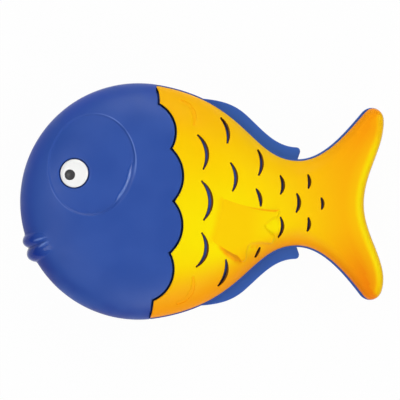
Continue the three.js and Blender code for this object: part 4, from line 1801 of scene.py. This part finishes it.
def feed(material, socket, value):
    """Sets a socket to a constant, or links it to another node's output."""
    if isinstance(value, bpy.types.NodeSocket):
        material.node_tree.links.new(value, socket)
    else:
        socket.default_value = value


def spread(material, value, low, high, to_low=0.0, to_high=1.0):
    """Goes smoothly from one value to another while a third one goes from low to high."""
    node = add_node(material, "ShaderNodeMapRange", interpolation_type="SMOOTHSTEP")
    for i, number in enumerate((value, low, high, to_low, to_high)):
        feed(material, node.inputs[i], number)
    return node.outputs["Result"]


def blend(material, share, first, second):
    """Mixes two colours, each given as numbers or as a node's output."""
    node = add_node(material, "ShaderNodeMix", data_type="RGBA")
    feed(material, node.inputs[MIX_SHARE], share)
    for socket, colour in ((MIX_FIRST, first), (MIX_SECOND, second)):
        is_output = isinstance(colour, bpy.types.NodeSocket)
        feed(material, node.inputs[socket], colour if is_output else (*colour, 1))
    return node.outputs[MIX_RESULT]


def times(material, first, second):
    node = add_node(material, "ShaderNodeMath", operation="MULTIPLY")
    feed(material, node.inputs[0], first)
    feed(material, node.inputs[1], second)
    return node.outputs[0]


# %% What a colour can follow
def object_place(material):
    return add_node(material, "ShaderNodeTexCoord").outputs["Object"]


def clouds(material, scale, detail=2.0):
    """Soft noise that stays with the piece."""
    node = add_node(material, "ShaderNodeTexNoise")
    feed(material, node.inputs["Vector"], object_place(material))
    feed(material, node.inputs["Scale"], scale)
    feed(material, node.inputs["Detail"], detail)
    return node.outputs["Fac"]


def noted(material, name, low, high, to_low=0.0, to_high=1.0):
    """Spreads a value that the vertices carry."""
    value = add_node(material, "ShaderNodeAttribute", attribute_name=name).outputs["Fac"]
    return spread(material, value, low, high, to_low, to_high)


def along(material, axis, span, before=0.0, behind=1.0):
    """One value before a span along an axis of the fish, in millimetres, and another behind it."""
    parts = add_node(material, "ShaderNodeSeparateXYZ")
    feed(material, parts.inputs[0], object_place(material))
    start, end = span
    return spread(material, parts.outputs[axis], start * MILLIMETRE, end * MILLIMETRE, before, behind)


# %% A moulded plastic
ROUGHNESS_CLOUDS = 160.0
ROUGHNESS_SPAN = (0.3, 0.7)
ROUGHNESS_FALL = 0.04
ROUGHNESS_RISE = 0.05
GRAIN = 2600.0
GRAIN_DETAIL = 3.0
GRAIN_STRENGTH = 0.25
FLOW_CLOUDS = 55.0
FLOW_SPAN = (0.35, 0.65)


def moulded(name, roughness, grain_height, shine=0.5, polished=1.0):
    """A satin plastic without its colour: wandering roughness, fine grain, smoother where polished."""
    material = bpy.data.materials.new(name)
    material.use_nodes = True
    shader = shader_of(material)
    feed(material, shader.inputs["Specular IOR Level"], shine)
    smoothest, roughest = roughness - ROUGHNESS_FALL, roughness + ROUGHNESS_RISE
    finish = spread(material, clouds(material, ROUGHNESS_CLOUDS), *ROUGHNESS_SPAN, smoothest, roughest)
    finish = times(material, finish, noted(material, "polish_and_painted_gleam", 0.0, 1.0, 1.0, polished))
    feed(material, shader.inputs["Roughness"], finish)
    bump = add_node(material, "ShaderNodeBump")
    feed(material, bump.inputs["Strength"], GRAIN_STRENGTH)
    feed(material, bump.inputs["Distance"], grain_height * MILLIMETRE)
    feed(material, bump.inputs["Height"], clouds(material, GRAIN, GRAIN_DETAIL))
    feed(material, shader.inputs["Normal"], bump.outputs["Normal"])
    return material


def flow(material, most=1.0):
    """The share of a second shade in the flow clouds."""
    return spread(material, clouds(material, FLOW_CLOUDS), *FLOW_SPAN, 0.0, most)


def give_colour(material, skin):
    feed(material, shader_of(material).inputs["Base Color"], skin)
    print(material.name, "has", len(material.node_tree.nodes), "nodes")


# %% Blue plastic, with painted shade, painted light and painted highlights
BLUE = (0.029, 0.085, 0.378)
BLUE_CLOUD = (0.023, 0.075, 0.355)
# Painted shade: the blue is darker at its rims, and darker still at the belly rims.
BLUE_RIM_SHADE = (0.015, 0.056, 0.365)
BLUE_BELLY_RIM_SHADE = (0.002, 0.022, 0.255)
# Painted light: towards the tail the deck and the fins are a paler blue, which lifts the shade that the
# cover casts on them.
BLUE_LIT_FIN = (0.036, 0.116, 0.46)
BLUE_LIT_FIN_CLOUD = (0.034, 0.110, 0.45)
# The colour of the painted highlights on the blue.
BLUE_PAINTED_HIGHLIGHT = (0.150, 0.250, 0.640)
BLUE_RIM_WIDTH = 0.3
BELLY_TO_BACK = (-30, 10)
HEAD_TO_FIN = (-4, 10)

blue = moulded("blue_moulded", roughness=0.42, grain_height=0.03, shine=0.24, polished=0.3)
blue_rim_shade = blend(blue, along(blue, "Y", BELLY_TO_BACK), BLUE_BELLY_RIM_SHADE, BLUE_RIM_SHADE)
skin_blue = blend(blue, noted(blue, "rim", 0.0, BLUE_RIM_WIDTH), blue_rim_shade, BLUE)
to_lit_fin = along(blue, "X", HEAD_TO_FIN)
skin_blue = blend(blue, to_lit_fin, skin_blue, BLUE_LIT_FIN)
# The depth note pales the blue into a painted highlight.
skin_blue = blend(blue, noted(blue, "depth", 0.0, 1.0), skin_blue, BLUE_PAINTED_HIGHLIGHT)
cloud_blue = blend(blue, to_lit_fin, BLUE_CLOUD, BLUE_LIT_FIN_CLOUD)
give_colour(blue, blend(blue, flow(blue), skin_blue, cloud_blue))

# %% Yellow plastic: body, with painted shade towards the back, the belly and the rims
# The yellow is brightest a little below the middle of the body. The deeper oranges towards the back, the
# belly and the rims are painted shade, where the form turns away from the light.
YELLOW_BODY = (0.98, 0.79, 0.001)
YELLOW_CLOUD = (0.97, 0.70, 0.001)
YELLOW_BACK_SHADE = (0.98, 0.53, 0.001)
YELLOW_BELLY_SHADE = (0.98, 0.61, 0.001)
YELLOW_BACK_RIM_SHADE = (0.97, 0.48, 0.003)
YELLOW_WAIST_RIM_SHADE = (0.98, 0.62, 0.003)
YELLOW_BELLY_RIM_SHADE = (0.97, 0.34, 0.003)
YELLOW_CLOUD_SHARE = 0.2
YELLOW_RIM_WIDTH = 0.75
BODY_TO_BACK = (-12, 36)
BELLY_TO_BODY = (-40, -16)
BACK_TO_WAIST = (-5, 30)
BELLY_RIM_TO_BACK_RIM = (-20, 20)

yellow = moulded("yellow_moulded", roughness=0.40, grain_height=0.03, shine=0.04)
inner_yellow = blend(yellow, along(yellow, "Y", BODY_TO_BACK), YELLOW_BODY, YELLOW_BACK_SHADE)
inner_yellow = blend(yellow, along(yellow, "Y", BELLY_TO_BODY), YELLOW_BELLY_SHADE, inner_yellow)
inner_yellow = blend(yellow, flow(yellow, YELLOW_CLOUD_SHARE), inner_yellow, YELLOW_CLOUD)
back_rim_shade = blend(yellow, along(yellow, "X", BACK_TO_WAIST), YELLOW_BACK_RIM_SHADE, YELLOW_WAIST_RIM_SHADE)
rim_shade_yellow = blend(yellow, along(yellow, "Y", BELLY_RIM_TO_BACK_RIM), YELLOW_BELLY_RIM_SHADE, back_rim_shade)
skin_yellow = blend(yellow, noted(yellow, "rim", 0.0, YELLOW_RIM_WIDTH), rim_shade_yellow, inner_yellow)
print("yellow body and rims:", len(yellow.node_tree.nodes), "nodes")

# %% Yellow plastic: tail, with painted shade and a painted highlight
# The deeper oranges of the tail, most on its lower lobe, are painted shade.
YELLOW_TAIL_SHADE = (0.97, 0.39, 0.003)
YELLOW_LOWER_TAIL_SHADE = (0.88, 0.21, 0.003)
YELLOW_UPPER_TAIL_SHADE = (0.97, 0.32, 0.003)
YELLOW_TRAILING_HIGHLIGHT = (0.98, 0.74, 0.002)
YELLOW_TRAILING_EDGE_SHADE = (0.97, 0.58, 0.002)
BODY_TO_TAIL = (10, 78)
LOWER_TAIL_TO_TAIL = (-34, -6)
TAIL_TO_UPPER_TAIL = (12, 34)
# The painted highlight along the trailing edge is fainter at the tips. It has a soft lead-in, a bright band
# and painted shade at the outer edge, each with where it fades out from the rim.
LOWER_TIP_FADE = (-40, -25)
UPPER_TIP_FADE = (19, 31)
TIP_SHARE = 0.4
LEAD_IN = (0.9, 2.8)
LEAD_IN_SHARE = 0.35
HIGHLIGHT_BAND = (0.65, 1.35)
OUTER_EDGE = (0.1, 0.65)

tail_shade_yellow = blend(yellow, along(yellow, "Y", LOWER_TAIL_TO_TAIL), YELLOW_LOWER_TAIL_SHADE, YELLOW_TAIL_SHADE)
tail_shade_yellow = blend(yellow, along(yellow, "Y", TAIL_TO_UPPER_TAIL), tail_shade_yellow, YELLOW_UPPER_TAIL_SHADE)
skin_yellow = blend(yellow, along(yellow, "X", BODY_TO_TAIL), skin_yellow, tail_shade_yellow)
trailing = noted(yellow, "trailing", 0.0, 1.0)
trailing = times(yellow, trailing, along(yellow, "Y", LOWER_TIP_FADE, TIP_SHARE, 1.0))
trailing = times(yellow, trailing, along(yellow, "Y", UPPER_TIP_FADE, 1.0, TIP_SHARE))
for band, most, shade in (
    (LEAD_IN, LEAD_IN_SHARE, YELLOW_TRAILING_HIGHLIGHT),
    (HIGHLIGHT_BAND, 1.0, YELLOW_TRAILING_HIGHLIGHT),
    (OUTER_EDGE, 1.0, YELLOW_TRAILING_EDGE_SHADE),
):
    share = times(yellow, trailing, noted(yellow, "rim", *band, most, 0.0))
    skin_yellow = blend(yellow, share, skin_yellow, shade)
print("with the tail:", len(yellow.node_tree.nodes), "nodes")

# %% Yellow plastic: painted highlights and painted shade
YELLOW_PAINTED_SHADE = (0.97, 0.40, 0.002)
YELLOW_SLOT_SHADE = (0.14, 0.05, 0.006)
# Up to this depth the painted shade is a deeper orange, and beyond it a dark brown, the shade inside a slot.
LIGHT_SHADE_LIMIT = 0.5

# The polish and gleam note pales the yellow into a painted highlight; the depth note is painted shade.
skin_yellow = blend(yellow, noted(yellow, "polish_and_painted_gleam", 0.0, 1.0), skin_yellow, YELLOW_BODY)
skin_yellow = blend(yellow, noted(yellow, "depth", 0.0, LIGHT_SHADE_LIMIT), skin_yellow, YELLOW_PAINTED_SHADE)
skin_yellow = blend(yellow, noted(yellow, "depth", LIGHT_SHADE_LIMIT, 1.0), skin_yellow, YELLOW_SLOT_SHADE)
give_colour(yellow, skin_yellow)

# %% White, dark and grey plastic
WHITE = (0.95, 0.95, 0.94)
WHITE_CLOUD = (0.93, 0.93, 0.92)
DARK = (0.040, 0.040, 0.042)
DARK_CLOUD = (0.030, 0.030, 0.031)
BALL_GREY = (0.70, 0.70, 0.66)
BALL_CLOUD = (0.66, 0.66, 0.62)

white = moulded("white_moulded", roughness=0.22, grain_height=0.01)
give_colour(white, blend(white, flow(white), WHITE, WHITE_CLOUD))
dark = moulded("dark_moulded", roughness=0.30, grain_height=0.01)
give_colour(dark, blend(dark, flow(dark), DARK, DARK_CLOUD))
ball_grey = moulded("ball_moulded", roughness=0.45, grain_height=0.02)
give_colour(ball_grey, blend(ball_grey, flow(ball_grey), BALL_GREY, BALL_CLOUD))

# %% [markdown]
# ## Putting the toy together
#
# The left side is modelled, and the right side is its mirror image, as on the real toy, where both halves
# come from mirrored moulds. A mirror modifier would keep both sides in one object, but each side is a
# piece of its own, so the mesh is copied, turned over and its faces reversed.


# %% Make both sides
def other_side(piece, name):
    bm = bmesh.new()
    bm.from_mesh(piece.data)
    bmesh.ops.scale(bm, vec=(1, 1, -1), verts=bm.verts[:])
    bmesh.ops.translate(bm, vec=(0, 0, 2 * CROWN_HALF * MILLIMETRE), verts=bm.verts[:])
    bmesh.ops.reverse_faces(bm, faces=bm.faces[:])
    return mesh_object(bm, name, piece.data.materials[0])


left_pieces = [
    (make_head(blue), "body_shell", "blue_plastic"),
    (make_deck(blue), "body_shell", "blue_plastic"),
    (make_blade("left_dorsal_fin", 1, blue), "body_shell", "blue_plastic"),
    (make_blade("left_belly_fin", -1, blue), "body_shell", "blue_plastic"),
    (make_cover(yellow), "scale_cover", "yellow_plastic"),
    (make_eye_white(white), "eye_white", "white_plastic"),
    (make_pupil(dark), "pupil", "dark_plastic"),
]
for left, node, slot in left_pieces:
    right = other_side(left, left.name.replace("left", "right"))
    for piece, side in ((left, "left"), (right, "right")):
        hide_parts(f"{side}_{node}")
        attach(piece, "fish")
        print(piece.name, len(piece.data.polygons), "faces,", leaks(piece), "open edges")

# %% Make the balls
for number in range(1, 7):
    ball = make_ball(number, ball_grey)
    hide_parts(f"rattle_ball_{number}")
    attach(ball, f"ball_{number}")
    print(ball.name, len(ball.data.polygons), "faces,", leaks(ball), "open edges")

# %% [markdown]
# ## Light, floor and camera
#
# The photograph looks straight down on the toy from far away, on pure white, with soft light from all
# round. A long lens a good metre away gives the same flat view. One big lamp would leave the rims dark,
# so six soft boxes stand round the toy: one above, two on the left, one on the right, one each at the
# belly and the back. Together with an even surround they light a flat face about once, so a colour shows
# as it is written. The floor is a pale sheet that mostly glows white for the camera, so the ground is
# white, yet still takes a faint shadow. From here on sizes are in metres.

# %% Floor
FLOOR_HALF = 1.5
FLOOR_GLOW = 0.97
FLOOR_GREY = (0.75, 0.75, 0.75, 1)
FLOOR_ROUGHNESS = 0.9
# The floor lies a hair below the toy, so that it doesn't share a plane with the flat of the crown.
FLOOR_DROP = 0.0001

floor_white = bpy.data.materials.new("floor_white")
floor_white.use_nodes = True
paper = shader_of(floor_white)
feed(floor_white, paper.inputs["Base Color"], FLOOR_GREY)
feed(floor_white, paper.inputs["Roughness"], FLOOR_ROUGHNESS)
glow = add_node(floor_white, "ShaderNodeEmission")
path = add_node(floor_white, "ShaderNodeLightPath")
mix = add_node(floor_white, "ShaderNodeMixShader")
seen = path.outputs["Is Camera Ray"]
for ray in ("Is Glossy Ray", "Is Transmission Ray"):
    either = add_node(floor_white, "ShaderNodeMath", operation="MAXIMUM")
    feed(floor_white, either.inputs[0], seen)
    feed(floor_white, either.inputs[1], path.outputs[ray])
    seen = either.outputs[0]
feed(floor_white, mix.inputs[0], spread(floor_white, seen, 0.0, 1.0, 0.0, FLOOR_GLOW))
feed(floor_white, mix.inputs[1], paper.outputs[0])
feed(floor_white, mix.inputs[2], glow.outputs[0])
output = next(n for n in floor_white.node_tree.nodes if n.type == "OUTPUT_MATERIAL")
feed(floor_white, output.inputs["Surface"], mix.outputs[0])

bm = bmesh.new()
bmesh.ops.create_grid(bm, x_segments=1, y_segments=1, size=FLOOR_HALF)
bmesh.ops.translate(bm, verts=bm.verts[:], vec=(0, 0, -FLOOR_DROP))
floor = mesh_object(bm, "floor", floor_white)
print("floor:", 2 * FLOOR_HALF, "m wide")

# %% Lamps and surround
TOY_MIDDLE = Vector((0, 0, CROWN_HALF * MILLIMETRE))
FILL = 0.26
# Each soft box has its lean from straight up and its heading, in degrees, its distance, size and power.
SOFT_BOXES = {
    "top_box": (8, 90, 1.6, 2.2, 1.6),
    "left_box": (34, 165, 1.0, 0.25, 1.3),
    "low_left_box": (44, 212, 1.0, 0.35, 1.1),
    "right_box": (50, 15, 1.0, 0.4, 2.2),
    "front_box": (60, -80, 1.0, 0.6, 4.2),
    "back_box": (60, 90, 1.0, 0.6, 4.0),
}


def soft_box(name, lean, heading, distance, size, power):
    """A square lamp that leans from straight up by an angle, towards a heading from the toy."""
    lamp = bpy.data.lights.new(name, "AREA")
    lamp.size = size
    lamp.energy = power
    sideways = math.sin(lean)
    spoke = Vector((sideways * math.cos(heading), sideways * math.sin(heading), math.cos(lean)))
    holder = add_object(name, lamp)
    holder.location = TOY_MIDDLE + distance * spoke
    holder.rotation_euler = spoke.to_track_quat("Z", "Y").to_euler()


for name, (lean, heading, distance, size, power) in SOFT_BOXES.items():
    soft_box(name, math.radians(lean), math.radians(heading), distance, size, power)

world = bpy.data.worlds.new("surround")
bpy.context.scene.world = world
world.use_nodes = True
sky = next(n for n in world.node_tree.nodes if n.type == "BACKGROUND")
sky.inputs["Color"].default_value = (1, 1, 1, 1)
sky.inputs["Strength"].default_value = FILL
print(len(SOFT_BOXES), "soft boxes and an even surround of", FILL)

# %% Camera
CAMERA_PLACE = Vector((-0.00093, 0.00087, 1.3773))
CAMERA_ROLL = 0.0105
CAMERA_LENS = 300
CAMERA_SENSOR = 36

lens = bpy.data.cameras.new("camera")
lens.lens = CAMERA_LENS
lens.sensor_width = CAMERA_SENSOR
camera = add_object("camera", lens)
camera.location = TOY_MIDDLE + CAMERA_PLACE
camera.rotation_euler = (0, 0, CAMERA_ROLL)
bpy.context.scene.camera = camera
bpy.context.scene.view_settings.view_transform = "Standard"
print("camera at", camera.location.to_tuple(4))
